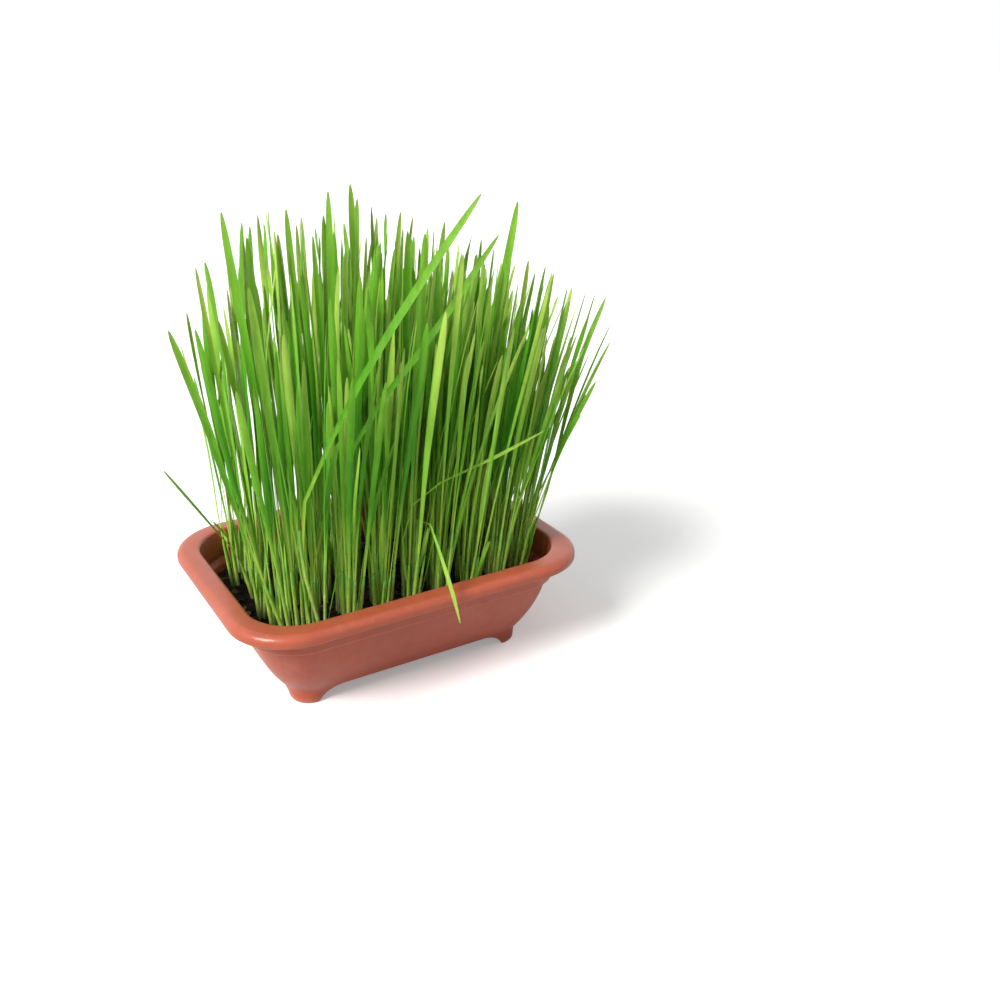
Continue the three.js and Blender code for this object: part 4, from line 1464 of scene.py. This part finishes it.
class WHEATGRASS_OT_stage(bpy.types.Operator):
    """Adds the floor, the lights and the camera"""

    bl_idname = "wheatgrass.stage"
    bl_label = "Stage"

    def execute(self, context):
        settings = context.scene.wheatgrass_stage
        build_floor(settings)
        build_sky(settings)
        sun_light(settings)
        build_camera()
        context.scene.view_settings.view_transform = "Standard"
        return {"FINISHED"}


class WHEATGRASS_OT_tray(bpy.types.Operator):
    """Builds the tray"""

    bl_idname = "wheatgrass.tray"
    bl_label = "Tray"

    def execute(self, context):
        finish_piece(build_tray(context.scene.wheatgrass_tray), "tray")
        return {"FINISHED"}


class WHEATGRASS_OT_soil(bpy.types.Operator):
    """Builds the soil with its crumbs and bark chips"""

    bl_idname = "wheatgrass.soil"
    bl_label = "Soil"

    def execute(self, context):
        settings = context.scene.wheatgrass_soil
        tufts = TUFTS or grow_tufts()
        finish_piece(build_soil(settings, tufts), "soil")
        finish_piece(build_clods(settings, tufts), None)
        finish_piece(build_bark(settings, tufts), None)
        return {"FINISHED"}


class WHEATGRASS_OT_wheat(bpy.types.Operator):
    """Builds the tufts of wheat"""

    bl_idname = "wheatgrass.wheat"
    bl_label = "Wheat"

    def execute(self, context):
        settings = context.scene.wheatgrass_wheat
        tufts = TUFTS or grow_tufts()
        grow_extras(tufts, settings)
        dice = random.Random(SEED + 9)
        materials = [wheat_leaf(settings), wheat_sheath(settings)]
        leaf_skin = straight_skin("leaf_skin", LEAF_ACROSS, LEAF_SHARES, True, (0, 2))
        sheath_skin = straight_skin("sheath_skin", SHEATH_ACROSS, SHEATH_SHARES, False, ())
        for number, tuft in enumerate(tufts, 1):
            name = f"wheat_{number:02d}"
            piece = build_tuft(name, tuft, settings, dice, leaf_skin, sheath_skin, materials)
            finish_piece(piece, f"grass_tuft_{number:02d}")
        return {"FINISHED"}


class WHEATGRASS_PT_sidebar(bpy.types.Panel):
    """Lists the operators and their settings."""

    bl_label = "Wheatgrass Tray"
    bl_idname = "WHEATGRASS_PT_sidebar"
    bl_space_type = "VIEW_3D"
    bl_region_type = "UI"
    bl_category = "Wheatgrass"

    def draw(self, context):
        for part in ("stage", "tray", "soil", "wheat"):
            box = self.layout.box()
            settings = getattr(context.scene, "wheatgrass_" + part)
            for name in settings.__annotations__:
                box.prop(settings, name)
            box.operator("wheatgrass." + part)


GROUP_CLASSES = {
    "wheatgrass_tray": WHEATGRASS_PG_tray,
    "wheatgrass_soil": WHEATGRASS_PG_soil,
    "wheatgrass_wheat": WHEATGRASS_PG_wheat,
    "wheatgrass_stage": WHEATGRASS_PG_stage,
}
CLASSES = (
    WHEATGRASS_OT_stage,
    WHEATGRASS_OT_tray,
    WHEATGRASS_OT_soil,
    WHEATGRASS_OT_wheat,
    WHEATGRASS_PT_sidebar,
)
TUFTS = []


def register():
    for name, group in GROUP_CLASSES.items():
        bpy.utils.register_class(group)
        setattr(bpy.types.Scene, name, PointerProperty(type=group))
    for one in CLASSES:
        bpy.utils.register_class(one)


def unregister():
    for one in reversed(CLASSES):
        bpy.utils.unregister_class(one)
    for name, group in GROUP_CLASSES.items():
        delattr(bpy.types.Scene, name)
        bpy.utils.unregister_class(group)


def main():
    register()
    TUFTS.extend(grow_tufts())
    bpy.ops.wheatgrass.stage()
    bpy.ops.wheatgrass.tray()
    bpy.ops.wheatgrass.soil()
    bpy.ops.wheatgrass.wheat()


if __name__ == "__main__":
    main()
